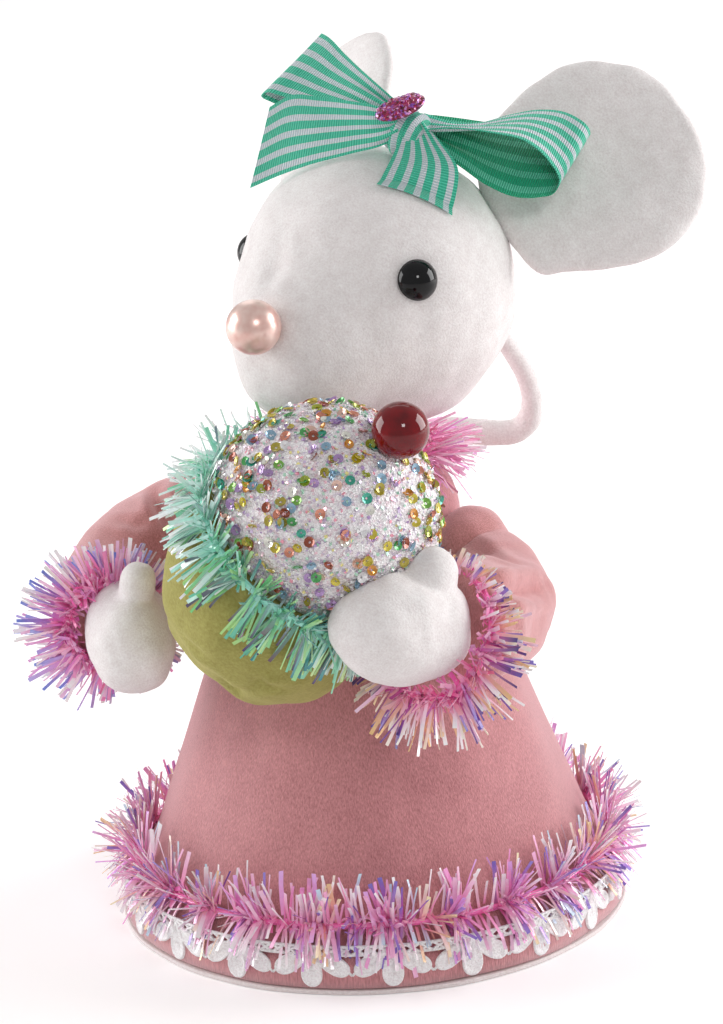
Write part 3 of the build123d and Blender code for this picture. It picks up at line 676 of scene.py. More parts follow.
# Each sleeve has its places from shoulder to cuff, a seed, and its folds as pixels, a width and a depth.
sleeves = (
    ("velvet_sleeve_left", "left_sleeve", "left_arm", (
        (42, 5, 177), (46, 4, 177), (64, 1, 167), (83, -16, 158.5), (90, -46, 161), (93.5, -69, 166.5),
        (93, -73, 167.3), (92.8, -74, 167.5),
    ), 21, (
        (((488, 582), (508, 588), (528, 589), (548, 586)), 4.0, 6.0),
        (((503, 600), (515, 622), (522, 645)), 3.0, 2.0),
        (((462, 536), (482, 552), (506, 560), (526, 564)), 3.5, 1.6),
    )),
    ("velvet_sleeve_right", "right_sleeve", "right_arm", (
        (-42, 4, 178), (-46, 3, 178.5), (-62, -6, 179), (-84, -25, 170.5), (-91, -52, 158),
        (-84.5, -73.5, 147), (-82, -77, 146), (-81.4, -77.7, 145.8),
    ), 31, (
        (((147, 476), (153, 490), (160, 505), (166, 525)), 3.2, 4.5),
        (((118, 520), (135, 524), (152, 520)), 3.0, 1.4),
    )),
)

for name, node, body, joints, seed, folds in sleeves:
    centres = np.array(joints) * mm

    def sleeve_shape(share, angle):
        """A round tube along a smooth line of centres."""
        line = through(sleeve_stations, centres, share)
        ahead = through(sleeve_stations, centres, np.clip(share + step_share, 0, 1))
        behind = through(sleeve_stations, centres, np.clip(share - step_share, 0, 1))
        way = unit(ahead - behind)
        side = unit(np.cross(way, up_way))
        girth = np.maximum(through(sleeve_stations, sleeve_girths, share), 0)[:, None] * mm
        return line + girth * (side * np.cos(angle)[:, None] + np.cross(side, way) * np.sin(angle)[:, None])

    sleeve = rolled(name, segments=72, rings=96, shape=sleeve_shape)
    finish_modifier(sleeve, "SMOOTH", factor=0.5, iterations=8)
    stuff_unevenly(sleeve, size_mm=20, depth_mm=2.0, seed=seed)
    for pixels, width, depth in folds:
        line = seen_points(sleeve, pixels)
        if len(line) > 1:
            crease(sleeve, line, width, depth)
    stuff_unevenly(sleeve, size_mm=8, depth_mm=0.5, seed=seed + 3)
    keep(sleeve, body, "pink_velvet", sleeve_velvet, node)

# %% [markdown]
# ## Paws
# The paws are white mittens with one thumb, pressed against the cupcake. A palm, a thumb and a wrist are
# joined, remeshed into one skin and smoothed, so that the thumb grows out of the palm with a soft notch.
# Where the cake is, the skin is pushed out of it.

# %% Paws
dome_middle = place(41, -88, 213)
dome_radius = 49.5
paw_gap = 0.6
wrist_radius = 13
left_cuff_way = (-0.25, -0.94, 0.22)
right_cuff_way = (0.65, -0.72, -0.25)
# Each paw has its cuff's place and way, its reach from there, its half length, height and width, a shift, the
# thumb's place from the middle, the thumb's radius and a seed.
paws = (
    ("mitten_paw_left", "left_paw", "left_arm", (94, -72.5, 167.2), left_cuff_way, 33.0, (33, 24.5, 24),
     (0, 0, 0), (7.8, 14.2, 19.2), 12.4, 41),
    ("mitten_paw_right", "right_paw", "right_arm", (-82, -77, 146), right_cuff_way, 18.5, (26, 24, 20),
     (5.0, 3.2, 1.5), (6.6, -1.2, 29.0), 8.8, 47),
)

for name, node, body, cuff, cuff_way, paw_reach, halves, shift, thumb, thumb_radius, seed in paws:
    way = unit(cuff_way)
    across = unit(up_way - way * (up_way @ way))
    deep = np.cross(way, across)
    paw_middle = place(*cuff) + way * paw_reach * mm + place(*shift)
    thumb_top = unit(thumb)
    thumb_side = unit(np.cross(thumb_top, way))

    def palm_shape(share, angle):
        """A long ball, fuller towards the wrist."""
        ahead = np.cos(share * math.pi)
        girth = np.where(ahead < 0, np.abs(1 - np.abs(ahead) ** 3) ** 0.45, np.sin(share * math.pi))
        return round_about(
            paw_middle, way, across, deep, ahead * halves[0], (girth * halves[1], girth * halves[2]), angle,
        )

    def thumb_shape(share, angle):
        """A blunt egg that stands on the palm."""
        girth = np.sin(share * math.pi) ** 0.8 * thumb_radius
        reach = -np.cos(share * math.pi) * thumb_radius * 1.35 - 3.5
        return round_about(
            paw_middle + place(*thumb), thumb_top, thumb_side, np.cross(thumb_top, thumb_side), reach,
            (girth, girth), angle,
        )

    def wrist_shape(share, angle):
        """A short round bar from inside the cuff to the palm."""
        girth = np.sin(share * math.pi) ** 0.3 * wrist_radius
        reach = (1 - share) * (paw_reach + 4) - 7
        return round_about(place(*cuff), way, across, deep, reach, (girth, girth), angle)

    paw = rolled(name, segments=48, rings=32, shape=palm_shape)
    thumb_form = rolled(name + "_thumb", segments=36, rings=24, shape=thumb_shape)
    wrist_form = rolled(name + "_wrist", segments=36, rings=24, shape=wrist_shape)
    pick(paw, thumb_form, wrist_form)
    bpy.ops.object.join()
    one_skin(paw, voxel_mm=1.2, smoothings=9)
    stuff_unevenly(paw, size_mm=15, depth_mm=1.6, seed=seed)
    stuff_unevenly(paw, size_mm=6, depth_mm=0.35, seed=seed + 1)
    move_points(paw, push_out(read_points(paw), dome_middle, (dome_radius + paw_gap) * mm))
    keep(paw, body, "white_velour", white_velour, node)

# %% [markdown]
# ## Tail
# The tail is a thin stuffed tube with a wire in it. It leaves the back of the dress, rises behind the
# figure and hooks round under the ear. A NURBS line with a round bevel follows the wire's places and
# tapers towards the tip, and is then made a mesh with a closed, rounded end.

# %% Tail
tail_line = (
    (4, 56.6, 84), (4, 80, 84), (4, 104, 84), (-5, 95, 150), (-16, 82, 188), (-4, 84, 201), (30, 103, 193),
    (35, 105, 222), (21, 90, 252),
)
tail_radii = (7.3, 7.3, 7.3, 7.3, 7.0, 6.4, 5.8, 5.2, 4.6)
tail_curve = bpy.data.curves.new("tail_line", "CURVE")
tail_curve.dimensions = "3D"
tail_spline = tail_curve.splines.new("NURBS")
tail_spline.points.add(len(tail_line) - 1)
for point, spot, radius in zip(tail_spline.points, tail_line, tail_radii):
    point.co = (*place(*spot), 1)
    point.radius = radius
tail_spline.order_u = 3
tail_spline.use_endpoint_u = True
tail_spline.resolution_u = 14
tail_curve.bevel_depth = mm
tail_curve.bevel_resolution = 8
tail_curve.use_fill_caps = True
tail = bpy.data.objects.new("velour_tail", tail_curve)
bpy.context.scene.collection.objects.link(tail)
pick(tail)
bpy.ops.object.convert(target="MESH")
tail = bpy.context.object
face_outwards(tail)
one_skin(tail, voxel_mm=1.3, smoothings=12)
stuff_unevenly(tail, size_mm=13, depth_mm=0.8, seed=61)
keep(tail, "tail", "white_velour", white_velour, "tail_cover", "tail_wire")

# %% [markdown]
# ## Cup of the cupcake
# The cup is olive felt over a round foam core, pulled together below. Its rings lie across the cupcake's
# leaning axis and sag a little, shallow folds run up it where the felt is gathered, and three creases
# follow the photograph. Behind, it lies against the dress.

# %% Felt cup
cupcake_lean = math.radians(43)
cup_way = np.array((math.sin(cupcake_lean), 0, math.cos(cupcake_lean)))
cup_front = np.array((0.0, -1.0, 0.0))
cup_side = np.cross(cup_way, cup_front)
seam_depth = 15
seam_middle = dome_middle - cup_way * seam_depth * mm
cup_stations = (0.0, 0.07, 0.2, 0.36, 0.52, 0.68, 0.84, 0.95, 1.0)
cup_drops = (0.5, 0.8, 1.5, 12.0, 25.0, 40.0, 55.0, 66.0, 68.5)
cup_girths = (0.0, 24.0, 46.8, 49.5, 50.5, 48.5, 40.5, 24.0, 0.0)
cup_sag = (5.0, 0.6, -7.0)
cup_gap = 1.5
cup_folds = (
    ((212, 672), (235, 690), (262, 684), (292, 690)),
    ((250, 695), (262, 676), (270, 660)),
    ((185, 640), (205, 655), (214, 680)),
)


def cup_shape(share, angle):
    """Rings of the cup, from the seam down to its foot."""
    folds = 1 + 0.016 * np.sin(angle * 9 + 1) * np.clip(share * 2 - 0.6, 0, 1) + 0.01 * np.sin(angle * 4)
    girth = np.maximum(through(cup_stations, cup_girths, share), 0) * folds
    return round_about(
        seam_middle + np.outer(share**2, cup_sag) * mm, cup_way, cup_side, cup_front,
        -through(cup_stations, cup_drops, share), (girth, girth), angle,
    )


cup = rolled("felt_cup", segments=84, rings=56, shape=cup_shape)
stuff_unevenly(cup, size_mm=20, depth_mm=1.4, seed=71)
rows = read_points(cup)
reach = np.linalg.norm(rows[:, :2], axis=1)
wall = np.array([dress_radius(height) + cup_gap for height in rows[:, 2] / mm]) * mm
inside = reach < wall
rows[inside, :2] *= (wall[inside] / reach[inside])[:, None]
move_points(cup, rows)
for fold_pixels in cup_folds:
    crease(cup, seen_points(cup, fold_pixels), width_mm=2.4, depth_mm=1.6)
keep(cup, "figure", "green_felt", cup_green_felt, "cup_felt")

# %% [markdown]
# ## Strips of film
# Tinsel is iridescent plastic film cut into narrow strips and twisted into a cord. One strip is modelled
# from a cube, cut across in two places so that it can bend, and then copied by the thousand with numpy.
# Each copy carries its own two colours, root and tip, in an attribute that the material reads, because
# film changes colour from strip to strip.

# %% One strip, and a function that copies it
def take_pattern(piece):
    """The points and faces of a small piece, which is then removed."""
    points = read_points(piece)
    faces = [tuple(face.vertices) for face in piece.data.polygons]
    bpy.data.objects.remove(piece)
    return points, faces


def set_tints(mesh, tints):
    """Write a colour for each point into the attribute that the film's material reads."""
    layer = mesh.color_attributes.new(name="tint", type="FLOAT_COLOR", domain="POINT")
    layer.data.foreach_set("color", tints.astype(np.float32).ravel())


def copies_mesh(name, points, faces, tints):
    """One mesh from many copies: points is copies x points x 3 and tints has a colour for each."""
    count, size = points.shape[:2]
    starts = (np.arange(count) * size)[:, None]
    all_faces = []
    for face in faces:
        all_faces += (np.array(face)[None, :] + starts).tolist()
    mesh = bpy.data.meshes.new(name)
    mesh.from_pydata(points.reshape(-1, 3).tolist(), [], all_faces)
    set_tints(mesh, tints)
    piece = bpy.data.objects.new(name, mesh)
    bpy.context.scene.collection.objects.link(piece)
    return piece


bpy.ops.object.select_all(action="DESELECT")
bpy.ops.mesh.primitive_cube_add(size=1, location=(0, 0, 0.5))
strip_pattern = bpy.context.object
bpy.ops.object.transform_apply(location=True, rotation=True, scale=True)
bpy.ops.object.mode_set(mode="EDIT")
for cut_share in (0.35, 0.7):
    bpy.ops.mesh.select_all(action="SELECT")
    bpy.ops.mesh.bisect(plane_co=(0, 0, cut_share), plane_no=(0, 0, 1))
bpy.ops.object.mode_set(mode="OBJECT")
strip_points, strip_faces = take_pattern(strip_pattern)
print("one strip:", len(strip_points), "points", len(strip_faces), "faces")


def lay_strips(name, roots, ways, sides, lengths, widths, thickness, bends, root_tints, tip_tints):
    """Copy the strip: each has a root, a way, a flat side, a length, a width, a bend and two colours."""
    sides = unit(sides - ways * np.sum(sides * ways, axis=1)[:, None])
    tops = np.cross(ways, sides)
    x = strip_points[None, :, 0, None]
    y = strip_points[None, :, 1, None]
    z = strip_points[None, :, 2, None]
    points = (
        roots[:, None] + sides[:, None] * x * widths[:, None, None] + tops[:, None] * y * thickness
        + ways[:, None] * z * lengths[:, None, None] + bends[:, None] * z**2 * lengths[:, None, None]
    )
    tints = root_tints[:, None] * (1 - z) + tip_tints[:, None] * z
    return copies_mesh(name, points, strip_faces, tints)


# %% [markdown]
# The film itself is thin, smooth polyester with a colour-shifting coat. A little metal, low roughness and
# a clear coat give the flashes, and the attribute gives the colour. Film of a millimetre or two is drawn
# as wide as it is, and only its thickness is exaggerated.

# %% Film material and palettes
film_shift = ((0.35, "#fbe3ef"), (0.5, "#ffffff"), (0.65, "#ecf7fc"))


def tinted_film(name, cloud_mm, share, shades, bump_mm=0.0, **surface):
    """Plastic film that takes its colour from the tint attribute, shaded a little in soft noise."""
    material, tree, shader = new_material(name, **surface)
    tint = add_node(tree, "ShaderNodeAttribute", attribute_name="tint")
    cloud = object_noise(tree, cloud_mm)
    shade = add_node(tree, "ShaderNodeValToRGB", {"Fac": cloud}, stops=shades)
    tone = add_node(tree, "ShaderNodeMix", {
        0: share, 6: tint.outputs["Color"], 7: shade.outputs["Color"],
    }, data_type="RGBA", blend_type="MULTIPLY")
    finish_surface(tree, shader, tone.outputs[2], cloud, bump_mm)
    return material


def palette(*texts):
    """Colours of a palette as rows."""
    return np.array([colour(text) for text in texts])


pink_film, green_film = (
    tinted_film(
        name, cloud_mm=3.0, share=0.35, shades=film_shift, bump_mm=0.3, Metallic=0.08, Roughness=0.22,
        Coat_Weight=0.6, Coat_Roughness=0.1,
    )
    for name in ("iridescent_pink_film", "iridescent_green_film")
)
pink_roots = palette("#ff7cc0", "#ff6ab4", "#ff98d0", "#ffa6d6", "#ffb6de", "#f84fa4")
pink_tips = palette(
    "#ffffff", "#fbd3ea", "#f7a8dc", "#e9b4f2", "#ffd6ee", "#8f86dc", "#ffffff", "#fff2c4", "#fbdca8",
    "#ffffff", "#fdeee0", "#fccbe8", "#c6e6f4", "#ffc2e4", "#7b70cc", "#ffffff",
)
collar_tips = pink_tips[[0, 1, 2, 3, 4, 6, 11, 13]]
blue_tips = palette(
    "#ffffff", "#f4b8ec", "#fbd0ee", "#a8b4f4", "#6f8ce4", "#8fa4ee", "#ffffff", "#d3ddfa", "#ff9ed4",
    "#ffc8e6", "#c0b4f4", "#ffffff",
)
gold_tips = palette(
    "#ffffff", "#fff3d8", "#f9dfa8", "#f4cc90", "#ffffff", "#6a5cb4", "#8a7fd8", "#ffffff", "#51468c",
    "#fbd9ec", "#fff8ea",
)
green_roots = palette("#a9f3e0", "#c4f8ee", "#8fe8c4", "#d4fbf3", "#7cd8ba")
green_tips = palette(
    "#ffffff", "#eafcf7", "#d3f7ec", "#ffffff", "#b4ecdc", "#8fe08c", "#5d4c6a", "#b9e88c", "#6fc8a8",
    "#7c5e6e", "#a8e6a0", "#3f8f96", "#d3f4a8", "#5a4470", "#8fe0b8", "#e8fff4",
)

# %% [markdown]
# ## Tinsel trims
# The hem trim is the widest. Its upper strips stand up along the dress and its lower ones hang over the
# lace, both about 20 mm long, with a dense pink core between them. The cuffs and the collar have shorter
# strips all round, and the green trim hides the seam between the cake and its cup. All of them stand on a
# thin cord.

# %% Hem, collar, cuffs and cup trims
core_mm = 5.0
film_thickness = 0.12
strip_widths = (0.7, 1.1, 1.5, 2.0)
width_chances = (0.25, 0.35, 0.25, 0.15)
tip_scatter = 2.2


def tinsel_ring(name, node, body, slot, film, middle, axis, start_way, ring_radius, groups, roots_palette,
                tips_palette, seed, cycles=7, phase=0.0, short_way=(0, 0, 0)):
    """A ring of tinsel: a thin cord and groups of strips.

    A group is (count, shortest, longest, lowest tilt, highest tilt, bend along the axis, tip share, lean).
    Tips change colour in patches round the ring, and cycles says how often. Strips are shorter on the side
    that short_way points to.
    """
    draw = np.random.default_rng(seed)
    axis = unit(axis)
    first = unit(start_way - axis * (start_way @ axis))
    second = np.cross(axis, first)
    parts = []
    for count, shortest, longest, lowest, highest, bend, tip_share, lean_spread in groups:
        angle = draw.uniform(0, 2 * math.pi, count)
        angle += 0.05 * np.sin(angle * 23 + seed) + 0.03 * np.sin(angle * 51)
        outward = np.outer(np.cos(angle), first) + np.outer(np.sin(angle), second)
        around = np.cross(axis, outward)
        tilt = np.radians(draw.uniform(lowest, highest, count))
        lean = draw.normal(0, lean_spread, count) + 0.18 * np.sin(angle * 13 + seed)
        way = unit(
            outward * np.cos(tilt)[:, None] + axis * np.sin(tilt)[:, None] + around * lean[:, None]
        )
        roots = (
            middle + outward * (ring_radius + draw.normal(0, core_mm * 0.2, count)[:, None]) * mm
            + axis * draw.normal(0, core_mm * 0.35, count)[:, None] * mm
        )
        sides = around + np.cross(way, around) * draw.normal(0, 0.5, count)[:, None]
        shorter = 1 - np.clip(outward @ np.array(short_way), 0, 0.6)
        lengths = draw.uniform(shortest, longest, count) * mm * shorter
        widths = draw.choice(strip_widths, count, p=width_chances) * mm
        root_tints = roots_palette[draw.integers(0, len(roots_palette), count)]
        patch = (np.sin(angle * cycles + phase) * 0.5 + 0.5) * len(tips_palette)
        pick_tip = (patch + draw.normal(0, tip_scatter, count)).astype(int) % len(tips_palette)
        tips = tips_palette[pick_tip] * tip_share + root_tints * (1 - tip_share)
        starts = root_tints * 0.75 + tips * 0.25
        bends = axis * bend + around * draw.normal(0, 0.06, count)[:, None]
        parts.append(
            lay_strips(name, roots, way, sides, lengths, widths, film_thickness * mm, bends, starts, tips)
        )
    bpy.ops.object.select_all(action="DESELECT")
    bpy.ops.mesh.primitive_torus_add(
        major_radius=ring_radius * mm, minor_radius=core_mm * 0.3 * mm, major_segments=96, minor_segments=8,
        location=middle, rotation=Matrix((first, second, axis)).transposed().to_euler(),
    )
    trim = bpy.context.object
    bpy.ops.object.transform_apply(location=True, rotation=True, scale=True)
    set_tints(trim.data, np.tile(roots_palette[0], len(trim.data.vertices)))
    pick(trim, *parts)
    bpy.ops.object.join()
    trim.name = name
    keep(trim, body, slot, film, node)


hem_trim_height = 29.0
hem_trim_gap = 3.4
tinsel_ring(
    "hem_trim", "hem_tinsel", "figure", "hem_tinsel", pink_film, place(0, 0, hem_trim_height), up_way,
    flat_right, ring_radius=dress_radius(hem_trim_height) + hem_trim_gap, groups=(
        (900, 15, 25, 48, 106, -0.04, 1.0, 0.15), (900, 10, 18, -48, -8, -0.36, 0.95, 0.15),
        (1100, 4, 8, -80, 100, 0.0, 0.4, 0.9), (340, 15, 24, -10, 50, 0.0, 1.0, 0.15),
    ), roots_palette=pink_roots, tips_palette=pink_tips, seed=101,
)
tinsel_ring(
    "collar_trim", "collar_tinsel", "figure", "collar_tinsel", pink_film, place(0, 0, 214.0), up_way,
    flat_right, ring_radius=36.0, groups=(
        (620, 14, 26, -52, 30, -0.06, 0.8, 0.2), (300, 4, 9, -70, 60, 0.0, 0.3, 0.9),
    ), roots_palette=pink_roots, tips_palette=collar_tips, seed=103,
)
cuff_groups = (
    (430, 15, 25, -40, 12, 0.0, 1.0, 0.12), (620, 4, 9, -70, 150, 0.0, 0.25, 0.8),
    (110, 8, 14, 5, 45, 0.05, 0.5, 0.3),
)
tinsel_ring(
    "cuff_trim_left", "left_cuff_tinsel", "left_arm", "cuff_tinsel", pink_film, place(91.2, -80, 164.8),
    (-0.18, -0.84, 0.51), up_way, ring_radius=27.6, groups=cuff_groups, roots_palette=pink_roots,
    tips_palette=gold_tips, seed=105, short_way=(0.2, 0.3, 0.55),
)
tinsel_ring(
    "cuff_trim_right", "right_cuff_tinsel", "right_arm", "cuff_tinsel", pink_film, place(-80.5, -79, 145.5),
    right_cuff_way, up_way, ring_radius=20.5, groups=cuff_groups, roots_palette=pink_roots,
    tips_palette=blue_tips, seed=108, short_way=(0.3, 0.2, 0),
)
tinsel_ring(
    "cup_trim", "cupcake_tinsel", "figure", "green_tinsel", green_film, seam_middle - cup_way * mm, cup_way,
    cup_front, ring_radius=50.5, groups=(
        (760, 15, 22, -84, -50, -0.1, 1.0, 0.08), (380, 9, 16, 45, 86, 0.06, 0.9, 0.15),
        (420, 4, 8, -70, 70, 0.0, 0.4, 0.9), (200, 14, 20, -45, 35, 0.0, 0.95, 0.12),
    ), roots_palette=green_roots, tips_palette=green_tips, seed=111, cycles=1, phase=-0.26,
)

# %% [markdown]
# ## Frosting
# The frosting is a foam ball under a crust of white glitter, with cup sequins sewn all over it. The crust
# is a ball with small bumps. On it lie thousands of tiny square flakes, each at its own tilt, so that
# some always catch the light. A flake is the film's strip, laid flat.

# %% Crust of the frosting
seam_drop = 14.6


def dome_shape(share, angle):
    """The ball of the frosting, cut flat at the seam."""
    reach = np.cos(share * math.pi) * dome_radius
    girth = np.sin(share * math.pi) * (dome_radius - 0.7)
    girth = np.where(reach < -seam_drop, girth * 0.97, girth)
    return round_about(
        dome_middle, cup_way, cup_side, cup_front, np.maximum(reach, -seam_drop), (girth, girth), angle,
    )


crust_paint, crust_tree, crust_shader = new_material("white_glitter_crust", Roughness=0.4)
crust_coordinates = add_node(crust_tree, "ShaderNodeTexCoord")
crust_cells = add_node(crust_tree, "ShaderNodeTexVoronoi", {
    "Vector": crust_coordinates.outputs["Object"], "Scale": 1 / (1.1 * mm),
})
crust_tone = add_node(crust_tree, "ShaderNodeValToRGB", {"Fac": crust_cells.outputs["Color"]}, stops=(
    (0.1, "#cdbfd6"), (0.3, "#f6eef2"), (0.6, "#ffffff"), (0.9, "#f0d4de"),
))
finish_surface(
    crust_tree, crust_shader, crust_tone.outputs["Color"], crust_cells.outputs["Distance"], bump_mm=0.8,
)
frosting = rolled("glitter_frosting", segments=96, rings=72, shape=dome_shape)
stuff_unevenly(frosting, size_mm=2.2, depth_mm=0.7, seed=81)
keep(frosting, "figure", "frosting", crust_paint, "cupcake_frosting")

# %% [markdown]
# A cup sequin is pressed from film into a shallow dish with a hole in its middle. It starts as a low
# band. Its upper rim is drawn in and down to the hole and through it, its lower rim is drawn in to meet
# it, and the two are merged, so that the dish is closed all round.

# %% Flakes and cup sequins
sequin_thickness = 0.12
bpy.ops.mesh.primitive_cylinder_add(
    vertices=9, radius=1, depth=sequin_thickness, end_fill_type="NOTHING", location=(0, 0, 0),
)
sequin_pattern = bpy.context.object
bpy.ops.object.mode_set(mode="EDIT")
bpy.ops.mesh.select_all(action="DESELECT")
bpy.ops.mesh.select_mode(type="EDGE")
bpy.ops.object.mode_set(mode="OBJECT")
for rim_height in (sequin_thickness / 2, -sequin_thickness / 2):
    rows = read_points(sequin_pattern)
    on_rim = np.isclose(rows[:, 2], rim_height) & (np.linalg.norm(rows[:, :2], axis=1) > 0.9)
    for edge in sequin_pattern.data.edges:
        edge.select = all(on_rim[index] for index in edge.vertices)
    bpy.ops.object.mode_set(mode="EDIT")
    for fall, growth in ((0.16, 0.62), (0.10, 0.4)):
        bpy.ops.mesh.extrude_edges_move(TRANSFORM_OT_translate={"value": (0, 0, -fall)})
        bpy.ops.transform.resize(value=(growth, growth, 1), center_override=(0, 0, 0))
    if rim_height > 0:
        bpy.ops.mesh.extrude_edges_move(TRANSFORM_OT_translate={"value": (0, 0, -sequin_thickness)})
    bpy.ops.mesh.select_all(action="DESELECT")
    bpy.ops.object.mode_set(mode="OBJECT")
bpy.ops.object.mode_set(mode="EDIT")
bpy.ops.mesh.select_all(action="SELECT")
bpy.ops.mesh.remove_doubles(threshold=0.03)
bpy.ops.mesh.normals_make_consistent(inside=False)
bpy.ops.object.mode_set(mode="OBJECT")
sequin_points, sequin_faces = take_pattern(sequin_pattern)
print("one sequin:", len(sequin_points), "points", len(sequin_faces), "faces")
cherry_clearance = 8


def scatter_on_dome(name, pattern, faces, count, sizes_mm, lift_mm, tilt, colours, seed, lowest_mm):
    """Copies of a flat pattern all over the frosting, each tilted by chance and in a colour of its own."""
    draw = np.random.default_rng(seed)
    ways = unit(draw.normal(size=(count * 3, 3)))
    cherry_gap = np.linalg.norm(ways - cup_way, axis=1) * dome_radius
    ways = ways[((ways @ cup_way) * dome_radius > lowest_mm) & (cherry_gap > cherry_clearance)][:count]
    count = len(ways)
    normals = unit(ways + draw.normal(0, tilt, (count, 3)))
    first = unit(np.cross(normals, unit(draw.normal(size=(count, 3)))))
    second = np.cross(normals, first)
    sizes = draw.uniform(*sizes_mm, count)[:, None, None] * mm
    spots = dome_middle + ways * (dome_radius + lift_mm) * mm
    points = spots[:, None] + sizes * (
        first[:, None] * pattern[None, :, 0, None] + second[:, None] * pattern[None, :, 1, None]
        + normals[:, None] * pattern[None, :, 2, None]
    )
    tints = np.repeat(colours[draw.integers(0, len(colours), count)][:, None], len(pattern), axis=1)
    return copies_mesh(name, points, faces, tints)


sequin_colours = palette(
    "#d9c840", "#c8b42e", "#a8b43a", "#4fae5c", "#2fa58c", "#d8902e", "#9a4426", "#d98a70", "#b490c8",
    "#8fb4cc", "#f0efe4", "#f4f3f5", "#e8c0b0", "#7cb648", "#b8a83a",
)
flake_colours = palette(
    "#ffffff", "#ffffff", "#fbf3f6", "#ddc8ea", "#f9ccd8", "#ffffff", "#bfecd2", "#b898cc", "#f8ec9c",
    "#fba8bc", "#ffffff", "#a4d8c0",
)
pressed_shades = ((0.3, "#e2e2e2"), (0.7, "#ffffff"))
flakes = scatter_on_dome(
    "glitter_flakes", strip_points * (1, 1, 0.12), strip_faces, count=3600, sizes_mm=(0.8, 1.5), lift_mm=0.1,
    tilt=0.45, colours=flake_colours, seed=121, lowest_mm=-13,
)
keep(flakes, "figure", "frosting", tinted_film(
    "glitter_flake_film", cloud_mm=2.0, share=0.6, shades=pressed_shades, Roughness=0.2, Metallic=0.15,
    Coat_Weight=0.6,
))
sequins = scatter_on_dome(
    "cup_sequins", sequin_points, sequin_faces, count=460, sizes_mm=(2.05, 2.5), lift_mm=0.9, tilt=0.35,
    colours=sequin_colours, seed=123, lowest_mm=-9,
)
keep(sequins, "figure", "frosting", tinted_film(
    "pressed_sequin_film", cloud_mm=2.0, share=0.6, shades=pressed_shades, Roughness=0.12, Metallic=0.35,
    Coat_Weight=0.9,
))

# %% [markdown]
# ## Ribbon bow
# The bow is tied from one ribbed ribbon 38 mm wide with five white stripes. A flat grid is a good start
# for ribbon: its rows are led between two edge lines, and near the knot they are gathered into pleats.
# The edges are read from the photograph: each point is a pixel and how far it lies in front of the knot's
# middle. The pattern follows the ribbon because it reads the grid's own UV map.

# %% Ribbon helpers
knot_way = unit(head_way(-0.04, 0.27, 0.96))
knot_height = 11.3
knot_middle = head_middle + knot_way * (head_radius + knot_height) * mm
knot_depth = (camera_place - knot_middle) @ camera_back
pleat_run = 0.16
pleat_count = 2.5
ribbon_gap = 1.6
ribbon_thickness = 0.5


def bow_place(spot):
    """The point seen at a pixel, a few millimetres in front of the middle of the knot."""
    way = sight_line(spot[:2])
    return camera_place + way * (knot_depth - spot[2] * mm) / -(way @ camera_back)


def edge_line(spots, shares):
    """A smooth edge of the ribbon through its spots, read at shares of its length."""
    line = np.array([bow_place(spot) for spot in spots])
    steps = np.linalg.norm(np.diff(line, axis=0), axis=1)
    knots = np.concatenate(([0], np.cumsum(steps))) / steps.sum()
    return through(knots, line, shares), steps.sum()


def stretch_pattern(piece, length):
    """Let the first direction of the UV map run in metres along the ribbon."""
    layer = piece.data.uv_layers.active.data
    pattern = np.empty(len(layer) * 2)
    layer.foreach_get("uv", pattern)
    layer.foreach_set("uv", (pattern.reshape(-1, 2) * (length, 1)).ravel())


def make_ribbon(name, node, upper, lower, pleat_mm, pleats_at_end, shade_from=2.0):
    """A piece of ribbon between two edges, pleated at its root and, for a loop, at its end.

    Beyond the share given last, it is a deeper teal with fainter stripes: painted shade in the loop.
    """
    bpy.ops.object.select_all(action="DESELECT")
    bpy.ops.mesh.primitive_grid_add(x_subdivisions=110, y_subdivisions=30, size=1)
    ribbon = bpy.context.object
    ribbon.name = name
    rows = read_points(ribbon)
    along = rows[:, 0] + 0.5
    across = rows[:, 1] + 0.5
    first, first_length = edge_line(upper, along)
    second, second_length = edge_line(lower, along)
    ahead, _ = edge_line(upper, np.clip(along + 0.01, 0, 1))
    behind, _ = edge_line(upper, np.clip(along - 0.01, 0, 1))
    ways = unit(np.cross(ahead - behind, second - first))
    gather = np.exp(-(along / pleat_run) ** 2)
    if pleats_at_end:
        gather = gather + np.exp(-((1 - along) / pleat_run) ** 2)
    pleat = np.cos(across * 2 * math.pi * pleat_count) * gather * pleat_mm
    ripple = 0.5 * np.sin(along * 9 + across * 3)
    rows = first + (second - first) * across[:, None] + ways * ((pleat + ripple) * mm)[:, None]
    move_points(ribbon, push_out(rows, head_middle, (head_radius + ribbon_gap) * mm))
    stretch_pattern(ribbon, (first_length + second_length) / 2)
    # The attribute marks where the ribbon is drawn in painted shade, inside the near loop.
    shade_layer = ribbon.data.attributes.new(name="loop_shade", type="FLOAT", domain="POINT")
    shade_layer.data.foreach_set("value", np.clip((along - shade_from) * 40, 0, 1).astype(np.float32))
    finish_modifier(ribbon, "SOLIDIFY", thickness=ribbon_thickness * mm, offset=0)
    bpy.ops.object.shade_smooth_by_angle(angle=math.radians(50))
    keep(ribbon, "head", "striped_ribbon", ribbed_ribbon, node)


# %% [markdown]
# Grosgrain has thick ribs across its length. The true rib is 0.7 mm, which is barely a pixel, so it is
# drawn 1.1 mm wide. The weave is teal with woven-in white stripes that run along the ribbon. Inside the
# near loop it is drawn a deeper teal with fainter stripes, as painted shade.

# %% Ribbed ribbon material
stripe_count = 5
rib_width = 1.1
ribbed_ribbon, ribbon_tree, ribbon_shader = new_material(
    "woven_striped_grosgrain", Roughness=0.62, Sheen_Weight=0.25, Sheen_Roughness=0.4,
)
ribbon_map = add_node(ribbon_tree, "ShaderNodeUVMap")
ribbon_axes = add_node(ribbon_tree, "ShaderNodeSeparateXYZ", {"Vector": ribbon_map.outputs["UV"]})


